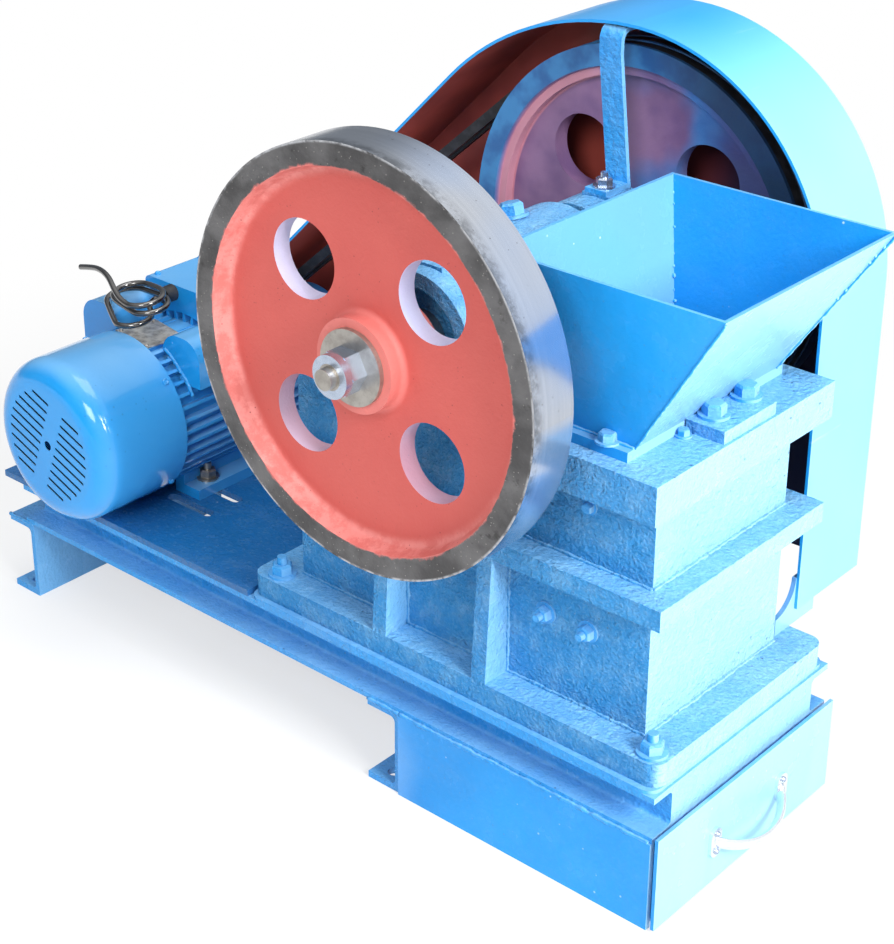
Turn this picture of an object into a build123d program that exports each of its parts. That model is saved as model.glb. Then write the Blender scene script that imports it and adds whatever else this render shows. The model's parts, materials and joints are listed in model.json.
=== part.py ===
from build123d import *
import os
from math import acos, atan2, cos, degrees, hypot, radians, sin, sqrt

# Laboratory jaw crusher on a channel-steel base, in millimetres.
# X runs along the machine towards the catch drawer, Y across it towards the belt guard, Z up.
# The origin lies on the floor, at the middle of the four anchor holes.

# Base frame of channel steel
frame_width = 238.0
anchor_pitch_x = 468.0
anchor_hole_diameter = 11.0
anchor_setback = 18.0
anchor_edge = 13.0
leg_height = 78.0
leg_depth = 35.0
leg_web = 5.0
leg_flange = 6.0
leg_root_radius = 5.0
beam_height = 40.0
beam_depth = 28.0
beam_web = 5.0
beam_flange = 5.0
beam_root_radius = 4.0
beam_rear_lap = 10.0
beam_length = 728.0
cross_plate_thickness = 5.0

# Drawer housing and drawer
side_plate_thickness = 5.0
side_plate_proud = 2.0
runner_width = 16.0
runner_thickness = 3.0
runner_lift = 2.0
runner_end_gap = 2.0
drawer_slide_gap = 0.3
drawer_side_gap = 3.0
drawer_rear_gap = 6.0
drawer_seat_gap = 4.0
drawer_wall = 2.0
drawer_tray_height = 60.0
drawer_front_thickness = 3.0
drawer_front_lift = 3.0
drawer_front_height = 82.0
handle_span = 92.0
handle_height = 42.0
handle_reach = 20.0
handle_drop = 10.0
handle_width = 12.0
handle_thickness = 6.0
handle_foot_height = 26.0
handle_foot_width = 14.0
handle_foot_thickness = 3.0

# Motor bed
bed_thickness = 6.0
bed_rear_overhang = 2.0
bed_end_gap = 1.0
slot_length = 58.0
slot_width = 11.0
spare_slot_shift = 35.0
slot_lead = 14.0

# Crusher body
packing_thickness = 3.0
base_length = 421.0
base_width = 228.0
base_thickness = 20.0
base_corner_radius = 12.0
base_front_setback = 2.0
body_front_setback = 31.0
body_length = 355.0
body_width = 174.0
wall_thickness = 25.0
front_wall_thickness = 28.0
rear_wall_thickness = 25.0
lower_height = 108.0
ledge_thickness = 17.0
ledge_overhang = 21.0
ledge_front_overhang = 22.0
upper_height = 69.0
top_plate_thickness = 31.0
top_overhang = 28.0
top_front_overhang = 18.0
top_plate_length = 147.0
rib_thickness = 14.0
front_rib_setback = 139.0
rear_rib_setback = 243.0
rear_wall_height = 120.0

# Jaws
jaw_width = 100.0
jaw_side_gap = 1.0
swing_arm_angle = 30.0
feed_gape = 60.0
discharge_gap = 10.0
jaw_plate_thickness = 22.0
jaw_tooth_count = 8
jaw_tooth_depth = 5.0
jaw_foot_gap = 20.0
swing_arm_width = 94.0
heel_depth = 50.0
heel_height = 94.0
swing_hub_diameter = 114.0
eccentric_throw = 4.0
eccentric_clearance = 0.5
toggle_thickness = 14.0
toggle_width = 80.0
toggle_height = 46.0
toggle_seat_depth = 86.0
toggle_seat_height = 50.0
toggle_seat_lift = 28.0
clamp_bar_length = 67.0
clamp_bar_depth = 33.0
clamp_bar_thickness = 10.0
clamp_bar_shift = 2.5
clamp_bar_setback = 2.5

# Shaft and its bearings
shaft_setback = 193.0
shaft_rise = 83.0
shaft_diameter = 40.0
shaft_hub_diameter = 35.0
shaft_thread_diameter = 20.0
eccentric_diameter = 52.0
eccentric_length = 96.0
running_clearance = 0.05
housing_diameter = 104.0
housing_length = 63.0
housing_mouth_diameter = 80.0
housing_mouth_depth = 10.0
pedestal_width = 104.0
pad_size = 26.0
pad_rise = 2.0
pad_depth = 24.0

# Flywheel, drive pulley and shaft nuts
wheel_diameter = 326.0
flywheel_width = 42.0
pulley_width = 52.0
wheel_body_gap = 23.0
rim_thickness = 18.0
rim_draft = 4.0
rim_ledge_width = 8.0
rim_ledge_depth = 5.0
web_thickness = 16.0
flywheel_recess = 14.0
pulley_recess = 22.0
web_root_radius = 5.0
hub_diameter = 72.0
wheel_hole_diameter = 61.0
wheel_hole_pitch_diameter = 173.0
wheel_hole_count = 4
pulley_hub_recess = 6.0
washer_diameter = 58.0
washer_thickness = 4.0
nut_across_flats = 30.0
nut_thickness = 14.0
nut_collar_diameter = 33.0
nut_collar_length = 6.5
pulley_nut_thickness = 12.0
stud_reach = 6.5
stud_tip_diameter = 16.0
pulley_stud_reach = 3.0

# Belt drive
groove_count = 2
groove_pitch = 16.0
groove_edge = 10.0
groove_width = 13.0
groove_depth = 11.0
groove_floor_width = 6.0
belt_height = 8.0
belt_sink = 1.0
belt_clearance = 0.4
motor_pulley_diameter = 104.0
motor_pulley_width = 42.0
motor_pulley_gap = 15.0

# Belt guard
guard_radius = 190.0
guard_shift = 3.0
guard_drop = 5.0
guard_shoulder_radius = 260.0
guard_motor_radius = 67.0
guard_sheet = 2.5
guard_width = 94.0
guard_body_gap = 4.6
guard_foot_level = 155.0
guard_motor_wrap = 130.0
bracket_width = 21.0
bracket_thickness = 4.0
bracket_lap = 30.0
bracket_lean = 12.0
bracket_bend = 7.0
bracket_clearance = 0.05
guard_foot_length = 58.0
guard_foot_height = 42.0
guard_foot_gap = 5.0
guard_foot_hollow = 27.0
guard_foot_thickness = 4.0

# Hopper
hopper_sheet = 3.0
hopper_flange_thickness = 8.0
hopper_flange_lap = 9.0
hopper_base_length = 95.0
hopper_base_width = 180.0
hopper_front_setback = 37.0
hopper_rim_length = 196.0
hopper_rim_width = 218.0
hopper_rim_setback = 22.0
hopper_rise = 124.0

# Motor
motor_setback = 120.0
motor_centre_height = 80.0
cowl_diameter = 153.0
cowl_length = 96.0
cowl_sheet = 2.0
cowl_edge_radius = 22.0
cowl_slot_width = 3.0
cowl_slot_pitch = 9.0
cowl_slot_count = 10
cowl_field_diameter = 104.0
cowl_slot_gap = 18.0
cowl_slot_slant = -21.0
cowl_hole_diameter = 9.0
frame_core_diameter = 132.0
frame_length = 159.0
fin_count = 40
fin_height = 8.0
fin_thickness = 3.0
foot_pitch_x = 98.0
foot_pitch_y = 100.0
foot_first_offset = 46.0
foot_near_end = 24.0
foot_far_end = 13.0
foot_width = 28.0
foot_thickness = 10.0
foot_web = 12.0
foot_web_height = 40.0
shield_diameter = 140.0
shield_length = 16.0
shield_boss_diameter = 56.0
shield_boss_length = 8.0
motor_shaft_diameter = 19.0
box_seat_gap = 0.3
cover_setback = 15.0
name_pad_width = 64.0
terminal_length = 70.0
terminal_width = 76.0
terminal_rise = 100.0
terminal_shift = -13.0
terminal_corner = 6.0
capacitor_length = 54.0
capacitor_width = 48.0
capacitor_rise = 88.0
capacitor_base = 30.0
capacitor_shift = -54.0
capacitor_corner = 20.0
switch_length = 46.0
switch_width = 48.0
switch_rise = 84.0
switch_base = 40.0
switch_shift = 56.0
switch_corner = 20.0

# Supply cord
gland_diameter = 16.0
gland_length = 12.0
gland_bore_diameter = 7.0
gland_rise = 92.0
hank_length = 118.0
hank_width = 50.0
hank_thickness = 22.0
hank_shift = -31.0
hank_corner = 10.0
hank_gap = 0.3

# One overrun serves every through cut
overrun = 4.0

# Anchor holes follow the width of the legs
anchor_pitch_y = frame_width - 2 * anchor_edge

# Levels
beam_base = leg_height
beam_top = beam_base + beam_height
bed_top = beam_top + bed_thickness
base_bottom = beam_top + packing_thickness
base_top = base_bottom + base_thickness
ledge_bottom = base_top + lower_height
ledge_top = ledge_bottom + ledge_thickness
wall_top = ledge_top + upper_height
plate_top = wall_top + top_plate_thickness
shaft_z = wall_top + shaft_rise
hopper_foot = plate_top + hopper_flange_thickness
hopper_rim = hopper_foot + hopper_rise
motor_z = bed_top + motor_centre_height

# Stations along the machine
rear_web_x = -anchor_pitch_x / 2 + anchor_setback
front_web_x = anchor_pitch_x / 2 + anchor_setback
beam_rear = rear_web_x - beam_rear_lap
beam_front = beam_rear + beam_length
base_front = beam_front - base_front_setback
base_rear = base_front - base_length
body_front = base_front - body_front_setback
body_rear = body_front - body_length
bed_rear = rear_web_x - leg_depth - bed_rear_overhang
bed_front = base_rear - bed_end_gap
shaft_x = body_front - shaft_setback
motor_x = bed_rear + motor_setback
chamber_front = body_front - front_wall_thickness
jaw_face = chamber_front - jaw_plate_thickness
plate_front = body_front + top_front_overhang
plate_rear = plate_front - top_plate_length

# Stations across the machine, on the far side
half_frame = frame_width / 2
half_body = body_width / 2
half_chamber = half_body - wall_thickness
half_plate = half_body + top_overhang
wheel_inner = half_plate + wheel_body_gap
wheel_outer = wheel_inner + pulley_width
guard_inner = half_plate + guard_body_gap
guard_outer = guard_inner + guard_width
guard_plate_y = guard_outer - guard_sheet
motor_end = wheel_inner - motor_pulley_gap
motor_near = motor_end - shield_boss_length - shield_length - frame_length

# Guard and belt centres in the X-Z plane
guard_x = shaft_x + guard_shift
guard_z = shaft_z - guard_drop
shoulder_z = guard_z + guard_radius - guard_shoulder_radius

os.makedirs("parts", exist_ok=True)


def save(piece, name):
    """Label a finished piece and write it as one STEP file."""
    piece.part.label = name
    export_step(piece.part, f"parts/{name}.step")


def block(x_range, y_range, z_range):
    """Make a rectangular piece between three pairs of limits."""
    x_low, x_high = sorted(x_range)
    y_low, y_high = sorted(y_range)
    z_low, z_high = z_range
    with BuildPart() as piece:
        with BuildSketch(Plane.XY.offset(z_low)):
            with Locations(((x_low + x_high) / 2, (y_low + y_high) / 2)):
                Rectangle(x_high - x_low, y_high - y_low)
        extrude(amount=z_high - z_low)
    return piece


def cut_block(x_range, y_range, z_range):
    """Cut a rectangular space out of the piece that is being built."""
    x_low, x_high = sorted(x_range)
    y_low, y_high = sorted(y_range)
    z_low, z_high = z_range
    middle = ((x_low + x_high) / 2, (y_low + y_high) / 2, (z_low + z_high) / 2)
    with Locations(middle):
        Box(x_high - x_low, y_high - y_low, z_high - z_low, mode=Mode.SUBTRACT)


def axle_plane(x, z):
    """Plane through an axle, local x outwards from it, local y along it."""
    return Plane(origin=(x, 0, z), x_dir=(1, 0, 0), z_dir=(0, 0, 1))


def axle(x, z):
    """Axis along the machine's width through a point of the X-Z plane."""
    return Axis((x, 0, z), (0, 1, 0))


# Legs: two rolled channels across the machine, flanges pointing to the motor end
for leg_name, web_x in (("rear_leg_channel", rear_web_x), ("front_leg_channel", front_web_x)):
    with BuildPart() as leg:
        with BuildSketch(Plane.XZ.offset(-half_frame)) as leg_profile:
            with Locations((web_x - leg_depth / 2, leg_height / 2)):
                Rectangle(leg_depth, leg_height)
            with Locations((web_x - leg_web - leg_depth / 2, leg_height / 2)):
                Rectangle(leg_depth, leg_height - 2 * leg_flange, mode=Mode.SUBTRACT)
            root_corners = leg_profile.vertices().group_by(Axis.X)[-2]
            fillet(root_corners, leg_root_radius)
        extrude(amount=frame_width)
        with BuildSketch():
            with Locations((web_x - anchor_setback, 0)):
                with GridLocations(0, anchor_pitch_y, 1, 2):
                    Circle(anchor_hole_diameter / 2)
        extrude(amount=leg_flange, mode=Mode.SUBTRACT)
    save(leg, leg_name)

# Beams: two rolled channels along the machine, flanges pointing outwards
for beam_name, side in (("near_beam", -1), ("far_beam", 1)):
    with BuildPart() as beam:
        with BuildSketch(Plane.YZ.offset(beam_rear)) as beam_profile:
            with Locations((side * (half_frame - beam_depth / 2), beam_base + beam_height / 2)):
                Rectangle(beam_depth, beam_height)
            with Locations((side * (half_frame - beam_depth / 2 + beam_web), beam_base + beam_height / 2)):
                Rectangle(beam_depth, beam_height - 2 * beam_flange, mode=Mode.SUBTRACT)
            inner_corners = beam_profile.vertices().sort_by(lambda corner: abs(corner.X))[2:4]
            fillet(inner_corners, beam_root_radius)
        extrude(amount=beam_length)
    save(beam, beam_name)

beam_inside = half_frame - beam_depth
front_cross_plate = block(
    (beam_front - cross_plate_thickness, beam_front), (-beam_inside, beam_inside), (beam_base, beam_top)
)
save(front_cross_plate, "front_cross_plate")

# Drawer housing: a plate and a runner on each side, in front of the front leg
housing_outer = half_frame + side_plate_proud
housing_inner = housing_outer - side_plate_thickness
runner_top = runner_lift + runner_thickness
for side_name, side in (("near", -1), ("far", 1)):
    side_plate = block(
        (front_web_x, beam_front), (side * housing_inner, side * housing_outer), (0, leg_height)
    )
    save(side_plate, f"{side_name}_side_plate")
    runner = block(
        (front_web_x, beam_front - runner_end_gap),
        (side * (housing_inner - runner_width), side * housing_inner),
        (runner_lift, runner_top),
    )
    save(runner, f"{side_name}_drawer_runner")

# Catch drawer: folded tray with its front plate welded on
tray_rear = front_web_x + drawer_rear_gap
tray_bottom = runner_top + drawer_slide_gap
tray_half = housing_inner - drawer_side_gap
drawer_back = beam_front + drawer_seat_gap
drawer_face = drawer_back + drawer_front_thickness
with BuildPart() as drawer_tray:
    with BuildSketch(Plane.XY.offset(tray_bottom)):
        with Locations(((tray_rear + drawer_back) / 2, 0)):
            Rectangle(drawer_back - tray_rear, 2 * tray_half)
    extrude(amount=drawer_tray_height)
    tray_mouth = drawer_tray.faces().sort_by(Axis.Z)[-1]
    offset(amount=-drawer_wall, openings=tray_mouth)
    with BuildSketch(Plane.YZ.offset(drawer_back)):
        with Locations((0, drawer_front_lift + drawer_front_height / 2)):
            Rectangle(2 * housing_outer, drawer_front_height)
    extrude(amount=drawer_front_thickness)
save(drawer_tray, "drawer_tray")

# Drawer handle: a bowed strap on two feet, hanging a little below them
bow_plane = Plane(
    origin=(drawer_face, 0, handle_height), x_dir=(0, 1, 0), z_dir=(handle_drop, 0, handle_reach)
)
bow_reach = hypot(handle_reach, handle_drop)
with BuildPart() as drawer_handle:
    with BuildLine(bow_plane) as bow:
        ThreePointArc((-handle_span / 2, 0), (0, -bow_reach), (handle_span / 2, 0))
    with BuildSketch(Plane(origin=bow.line @ 0, x_dir=bow_plane.z_dir, z_dir=bow.line % 0)):
        Ellipse(handle_width / 2, handle_thickness / 2)
    sweep()
    with BuildSketch(Plane.YZ.offset(drawer_face)):
        with Locations((0, handle_height)):
            with GridLocations(handle_span, 0, 2, 1):
                SlotOverall(handle_foot_height, handle_foot_width, rotation=90)
    extrude(amount=handle_foot_thickness)
    split(bisect_by=Plane.YZ.offset(drawer_face), keep=Keep.TOP)
save(drawer_handle, "drawer_handle")

# Motor bed: a plate on the beams with adjusting slots beside the motor's feet
foot_rows = (motor_near + foot_first_offset, motor_near + foot_first_offset + foot_pitch_y)
slot_rows = (foot_rows[0] - spare_slot_shift, foot_rows[0], foot_rows[1])
with BuildPart() as motor_bed_plate:
    with BuildSketch(Plane.XY.offset(beam_top)):
        with Locations(((bed_rear + bed_front) / 2, 0)):
            Rectangle(bed_front - bed_rear, frame_width)
        slot_middles = (motor_x - foot_pitch_x / 2 + slot_lead, motor_x + foot_pitch_x / 2 + slot_lead)
        slot_places = [(middle, row) for middle in slot_middles for row in slot_rows]
        with Locations(*slot_places):
            SlotOverall(slot_length, slot_width, mode=Mode.SUBTRACT)
    extrude(amount=bed_thickness)
save(motor_bed_plate, "motor_bed_plate")

# Crusher foot: packing plate and thick flange, both open under the jaws
discharge_rear = jaw_face - feed_gape - jaw_plate_thickness
for foot_name, foot_width_y, low, high in (
    ("packing_plate", frame_width, beam_top, base_bottom),
    ("base_flange", base_width, base_bottom, base_top),
):
    with BuildPart() as foot:
        with BuildSketch(Plane.XY.offset(low)):
            with Locations(((base_rear + base_front) / 2, 0)):
                RectangleRounded(base_length, foot_width_y, base_corner_radius)
        extrude(amount=high - low)
        cut_levels = (low - overrun, high + overrun)
        cut_block((discharge_rear, chamber_front), (-half_chamber, half_chamber), cut_levels)
    save(foot, foot_name)

# Side walls of the body, each with two ribs that taper from the foot flange up to the ledge
rib_places = (body_front - front_rib_setback, body_front - rear_rib_setback)
for side_name, side in (("near", -1), ("far", 1)):
    with BuildPart() as wall:
        with BuildSketch(Plane.XY.offset(base_top)):
            with Locations(((body_rear + body_front) / 2, side * (half_body + half_chamber) / 2)):
                Rectangle(body_length, wall_thickness)
        extrude(amount=wall_top - base_top)
        for rib_x in rib_places:
            with BuildSketch(Plane.YZ.offset(rib_x - rib_thickness / 2)):
                Polygon(
                    (side * half_body, base_top),
                    (side * base_width / 2, base_top),
                    (side * (half_body + ledge_overhang), ledge_bottom),
                    (side * half_body, ledge_bottom),
                )
            extrude(amount=rib_thickness)
    save(wall, f"{side_name}_wall")

front_wall = block((chamber_front, body_front), (-half_chamber, half_chamber), (base_top, wall_top))
save(front_wall, "front_wall")

# Rear wall with the seat that the toggle plate pushes against
toggle_seat_face = body_rear + rear_wall_thickness + toggle_seat_depth
with BuildPart() as rear_wall:
    with BuildSketch(Plane.XZ.offset(-half_chamber)):
        with Locations((body_rear + rear_wall_thickness / 2, base_top + rear_wall_height / 2)):
            Rectangle(rear_wall_thickness, rear_wall_height)
        seat_middle = base_top + toggle_seat_lift + toggle_seat_height / 2
        with Locations(((body_rear + toggle_seat_face) / 2, seat_middle)):
            Rectangle(toggle_seat_face - body_rear, toggle_seat_height)
    extrude(amount=2 * half_chamber)
save(rear_wall, "rear_wall")

# Ledge round the body at mid height
with BuildPart() as mid_flange:
    with BuildSketch(Plane.XY.offset(ledge_bottom)):
        ledge_length = body_length + ledge_front_overhang
        with Locations((body_rear + ledge_length / 2, 0)):
            Rectangle(ledge_length, body_width + 2 * ledge_overhang)
        with Locations(((body_rear + body_front) / 2, 0)):
            Rectangle(body_length, body_width, mode=Mode.SUBTRACT)
    extrude(amount=ledge_thickness)
save(mid_flange, "mid_flange")

# Top plate, a funnel from the hopper to the jaws, open at the rear where the swing jaw comes up
half_feed = jaw_width / 2 + jaw_side_gap
half_funnel = hopper_base_width / 2 - hopper_sheet
with BuildPart() as top_plate:
    with BuildSketch(Plane.XY.offset(wall_top)):
        with Locations(((plate_rear + plate_front) / 2, 0)):
            Rectangle(top_plate_length, 2 * half_plate)
    extrude(amount=top_plate_thickness)
    with BuildSketch(Plane.YZ.offset(plate_rear)):
        Polygon(
            (-half_feed, wall_top), (half_feed, wall_top), (half_funnel, plate_top), (-half_funnel, plate_top)
        )
    extrude(amount=chamber_front - plate_rear, mode=Mode.SUBTRACT)
save(top_plate, "top_plate")

# Jaw plates: corrugated castings, the same section on both jaws
tooth_pitch = jaw_width / jaw_tooth_count
jaw_foot = base_top + jaw_foot_gap


def jaw_section():
    """Sketch a jaw plate's section: local x across the jaw, local y from its back to its teeth."""
    root = jaw_plate_thickness - jaw_tooth_depth
    ridges = []
    for tooth in range(jaw_tooth_count):
        left = -jaw_width / 2 + tooth * tooth_pitch
        ridges += [(left, root), (left + tooth_pitch / 2, jaw_plate_thickness)]
    ridges += [(jaw_width / 2, root), (jaw_width / 2, 0), (-jaw_width / 2, 0)]
    Polygon(*ridges)


with BuildPart() as fixed_jaw_plate:
    fixed_plane = Plane(origin=(chamber_front, 0, jaw_foot), x_dir=(0, 1, 0), z_dir=(0, 0, 1))
    with BuildSketch(fixed_plane):
        jaw_section()
    extrude(amount=plate_top - jaw_foot)
save(fixed_jaw_plate, "fixed_jaw_plate")

# Swing jaw face, leaning from the feed gape down to the discharge gap
face_rise = plate_top - jaw_foot
face_lean = feed_gape - discharge_gap
face_length = hypot(face_rise, face_lean)
lean_sin = face_lean / face_length
lean_cos = face_rise / face_length
swing_foot_x = jaw_face - discharge_gap
back_foot_x = swing_foot_x - jaw_plate_thickness * lean_cos
back_foot_z = jaw_foot - jaw_plate_thickness * lean_sin
with BuildPart() as swing_jaw_plate:
    swing_plane = Plane(
        origin=(back_foot_x, 0, back_foot_z), x_dir=(0, -1, 0), z_dir=(-lean_sin, 0, lean_cos)
    )
    with BuildSketch(swing_plane):
        jaw_section()
    extrude(amount=face_length)
save(swing_jaw_plate, "swing_jaw_plate")

# Swing jaw: an arm from the shaft hub down behind its plate, with a heel for the toggle
back_top_x = back_foot_x - face_length * lean_sin
back_top_z = back_foot_z + face_length * lean_cos
heel_back = back_foot_x - heel_depth
hub_radius = swing_hub_diameter / 2
hub_across = hub_radius * cos(radians(swing_arm_angle))
hub_up = hub_radius * sin(radians(swing_arm_angle))
with BuildPart() as swing_jaw:
    with BuildSketch(Plane.XZ.offset(-swing_arm_width / 2)):
        with BuildLine():
            Polyline(
                (back_top_x, back_top_z),
                (back_foot_x, back_foot_z),
                (heel_back, back_foot_z),
                (heel_back, back_foot_z + heel_height),
                (shaft_x - hub_across, shaft_z - hub_up),
                (shaft_x + hub_across, shaft_z + hub_up),
                close=True,
            )
        make_face()
        with Locations((shaft_x, shaft_z)):
            Circle(hub_radius)
            Circle(eccentric_diameter / 2 + eccentric_throw + eccentric_clearance, mode=Mode.SUBTRACT)
    extrude(amount=swing_arm_width)
save(swing_jaw, "swing_jaw")

# Toggle plate between the rear seat and the heel
toggle_z = base_top + toggle_height
toggle_plate = block(
    (toggle_seat_face, heel_back),
    (-toggle_width / 2, toggle_width / 2),
    (toggle_z - toggle_thickness / 2, toggle_z + toggle_thickness / 2),
)
save(toggle_plate, "toggle_plate")

# Cheek plates that line the crushing chamber, cut to the wedge between the jaws
for side_name, side in (("near", -1), ("far", 1)):
    cheek_low = min(side * half_feed, side * half_chamber)
    with BuildPart() as cheek:
        with BuildSketch(Plane.XZ.offset(-cheek_low)):
            with BuildLine():
                Polyline(
                    (swing_foot_x, jaw_foot),
                    (chamber_front, jaw_foot),
                    (chamber_front, wall_top),
                    (swing_foot_x - (wall_top - jaw_foot) * lean_sin / lean_cos, wall_top),
                    close=True,
                )
            make_face()
        extrude(amount=-(half_chamber - half_feed))
    save(cheek, f"{side_name}_cheek_plate")

clamp_bar_front = plate_front - clamp_bar_setback
clamp_bar = block(
    (clamp_bar_front - clamp_bar_depth, clamp_bar_front),
    (clamp_bar_shift - clamp_bar_length / 2, clamp_bar_shift + clamp_bar_length / 2),
    (plate_top, plate_top + clamp_bar_thickness),
)
save(clamp_bar, "jaw_clamp_bar")

# Bearing housings on the side walls, with a flat pad on top
for side_name, side in (("near", -1), ("far", 1)):
    with BuildPart() as housing:
        with BuildSketch(axle_plane(shaft_x, shaft_z)):
            with Locations((housing_diameter / 4, side * (half_chamber + housing_length / 2))):
                Rectangle(housing_diameter / 2, housing_length)
        revolve(axis=axle(shaft_x, shaft_z))
        with BuildSketch(Plane.XY.offset(wall_top)):
            with Locations((shaft_x, side * (half_body + half_chamber) / 2)):
                Rectangle(pedestal_width, wall_thickness)
        extrude(amount=shaft_rise)
        with BuildSketch(Plane.XY.offset(shaft_z)):
            with Locations((shaft_x, side * (half_body + pad_depth / 2))):
                Rectangle(pad_size, pad_depth)
        extrude(amount=housing_diameter / 2 + pad_rise)
        with BuildSketch(axle_plane(shaft_x, shaft_z)):
            bore_radius = shaft_diameter / 2 + running_clearance
            mouth = side * (half_chamber + housing_length - housing_mouth_depth / 2)
            with Locations((bore_radius / 2, side * (half_chamber + housing_length / 2))):
                Rectangle(bore_radius, housing_length)
            with Locations((housing_mouth_diameter / 4, mouth)):
                Rectangle(housing_mouth_diameter / 2, housing_mouth_depth)
        revolve(axis=axle(shaft_x, shaft_z), mode=Mode.SUBTRACT)
    save(housing, f"{side_name}_bearing_housing")

# Flywheel and drive pulley: spoked by a web with round holes, hubs on the shaft
wheel_radius = wheel_diameter / 2
rim_inside = wheel_radius - rim_thickness


def groove_places(first):
    """List the middles of the belt grooves across a rim that starts at a station."""
    return [first + groove_edge + count * groove_pitch for count in range(groove_count)]


def cut_grooves(radius, first):
    """Sketch the V section of each belt groove on an axle plane."""
    for middle in groove_places(first):
        Polygon(
            (radius, middle - groove_width / 2),
            (radius - groove_depth, middle - groove_floor_width / 2),
            (radius - groove_depth, middle + groove_floor_width / 2),
            (radius, middle + groove_width / 2),
        )


for wheel_name, side, width, recess, hub_recess in (
    ("flywheel", -1, flywheel_width, flywheel_recess, 0),
    ("drive_pulley", 1, pulley_width, pulley_recess, pulley_hub_recess),
):
    rim_face = side * wheel_outer
    rim_back = rim_face - side * width
    web_face = rim_face - side * recess
    web_back = web_face - side * web_thickness
    hub_face = rim_face - side * hub_recess
    hub_back = side * wheel_inner
    with BuildPart() as wheel:
        with BuildSketch(axle_plane(shaft_x, shaft_z)) as wheel_section:
            with BuildLine():
                Polyline(
                    (shaft_hub_diameter / 2, hub_back),
                    (hub_diameter / 2, hub_back),
                    (hub_diameter / 2, web_back),
                    (rim_inside - rim_draft, web_back),
                    (rim_inside, rim_back),
                    (wheel_radius, rim_back),
                    (wheel_radius, rim_face),
                    (rim_inside, rim_face),
                    (rim_inside - rim_draft, web_face),
                    (hub_diameter / 2, web_face),
                    (hub_diameter / 2, hub_face),
                    (shaft_hub_diameter / 2, hub_face),
                    close=True,
                )
            make_face()
            across = wheel_section.vertices().group_by(Axis.Y)
            fillet(across[1] + across[2], web_root_radius)
        revolve(axis=axle(shaft_x, shaft_z))
        web_middle = (shaft_x, (web_face + web_back) / 2, shaft_z)
        with BuildSketch(Plane(origin=web_middle, x_dir=(1, 0, 0), z_dir=(0, 1, 0))):
            first_angle = 180 / wheel_hole_count
            with PolarLocations(wheel_hole_pitch_diameter / 2, wheel_hole_count, start_angle=first_angle):
                Circle(wheel_hole_diameter / 2)
        extrude(amount=web_thickness, both=True, mode=Mode.SUBTRACT)
        if wheel_name == "drive_pulley":
            with BuildSketch(axle_plane(shaft_x, shaft_z)):
                ledge_rise = web_back - rim_back - rim_ledge_depth
                with Locations((rim_inside - rim_ledge_width / 2, web_back - ledge_rise / 2)):
                    Rectangle(rim_ledge_width, ledge_rise)
            revolve(axis=axle(shaft_x, shaft_z))
            with BuildSketch(axle_plane(shaft_x, shaft_z)):
                cut_grooves(wheel_radius, wheel_inner)
            revolve(axis=axle(shaft_x, shaft_z), mode=Mode.SUBTRACT)
    save(wheel, wheel_name)

# Eccentric shaft: stepped from the threaded flywheel end to the threaded pulley end
washer_face = wheel_outer + washer_thickness
nut_face = washer_face + nut_thickness
collar_face = nut_face + nut_collar_length
flywheel_stud = collar_face + stud_reach
pulley_hub_face = wheel_outer - pulley_hub_recess
pulley_stud = pulley_hub_face + pulley_nut_thickness + pulley_stud_reach
with BuildPart() as eccentric_shaft:
    for diameter, low, high in (
        (stud_tip_diameter, -flywheel_stud, -collar_face),
        (shaft_thread_diameter, -collar_face, -wheel_outer),
        (shaft_hub_diameter, -wheel_outer, -wheel_inner),
        (shaft_diameter, -wheel_inner, wheel_inner),
        (shaft_hub_diameter, wheel_inner, pulley_hub_face),
        (shaft_thread_diameter, pulley_hub_face, pulley_stud),
    ):
        with BuildSketch(Plane.XZ.offset(-low)):
            with Locations((shaft_x, shaft_z)):
                Circle(diameter / 2)
        extrude(amount=-(high - low))
    with BuildSketch(Plane.XZ.offset(eccentric_length / 2)):
        with Locations((shaft_x + eccentric_throw, shaft_z)):
            Circle(eccentric_diameter / 2)
    extrude(amount=-eccentric_length)
save(eccentric_shaft, "eccentric_shaft")


def ring(outer_diameter, inner_diameter, low, high):
    """Make a flat ring on the shaft axis between two stations across the machine."""
    with BuildPart() as piece:
        with BuildSketch(Plane.XZ.offset(-low)):
            with Locations((shaft_x, shaft_z)):
                Circle(outer_diameter / 2)
                Circle(inner_diameter / 2, mode=Mode.SUBTRACT)
        extrude(amount=-(high - low))
    return piece


def hex_nut(low, high, collar):
    """Make a hexagon nut on the shaft thread between two stations, with a round collar below it."""
    with BuildPart() as piece:
        with BuildSketch(Plane.XZ.offset(-low)):
            with Locations((shaft_x, shaft_z)):
                RegularPolygon(nut_across_flats / 2, 6, major_radius=False)
                Circle(shaft_thread_diameter / 2, mode=Mode.SUBTRACT)
        extrude(amount=-(high - low))
        if collar:
            with BuildSketch(Plane.XZ.offset(-low)):
                with Locations((shaft_x, shaft_z)):
                    Circle(nut_collar_diameter / 2)
                    Circle(shaft_thread_diameter / 2, mode=Mode.SUBTRACT)
            extrude(amount=collar)
    return piece


flywheel_washer = ring(washer_diameter, shaft_thread_diameter, -washer_face, -wheel_outer)
save(flywheel_washer, "flywheel_washer")
flywheel_nut = hex_nut(-nut_face, -washer_face, nut_collar_length)
save(flywheel_nut, "flywheel_nut")
pulley_nut = hex_nut(pulley_hub_face, pulley_hub_face + pulley_nut_thickness, 0)
save(pulley_nut, "pulley_nut")

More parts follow.
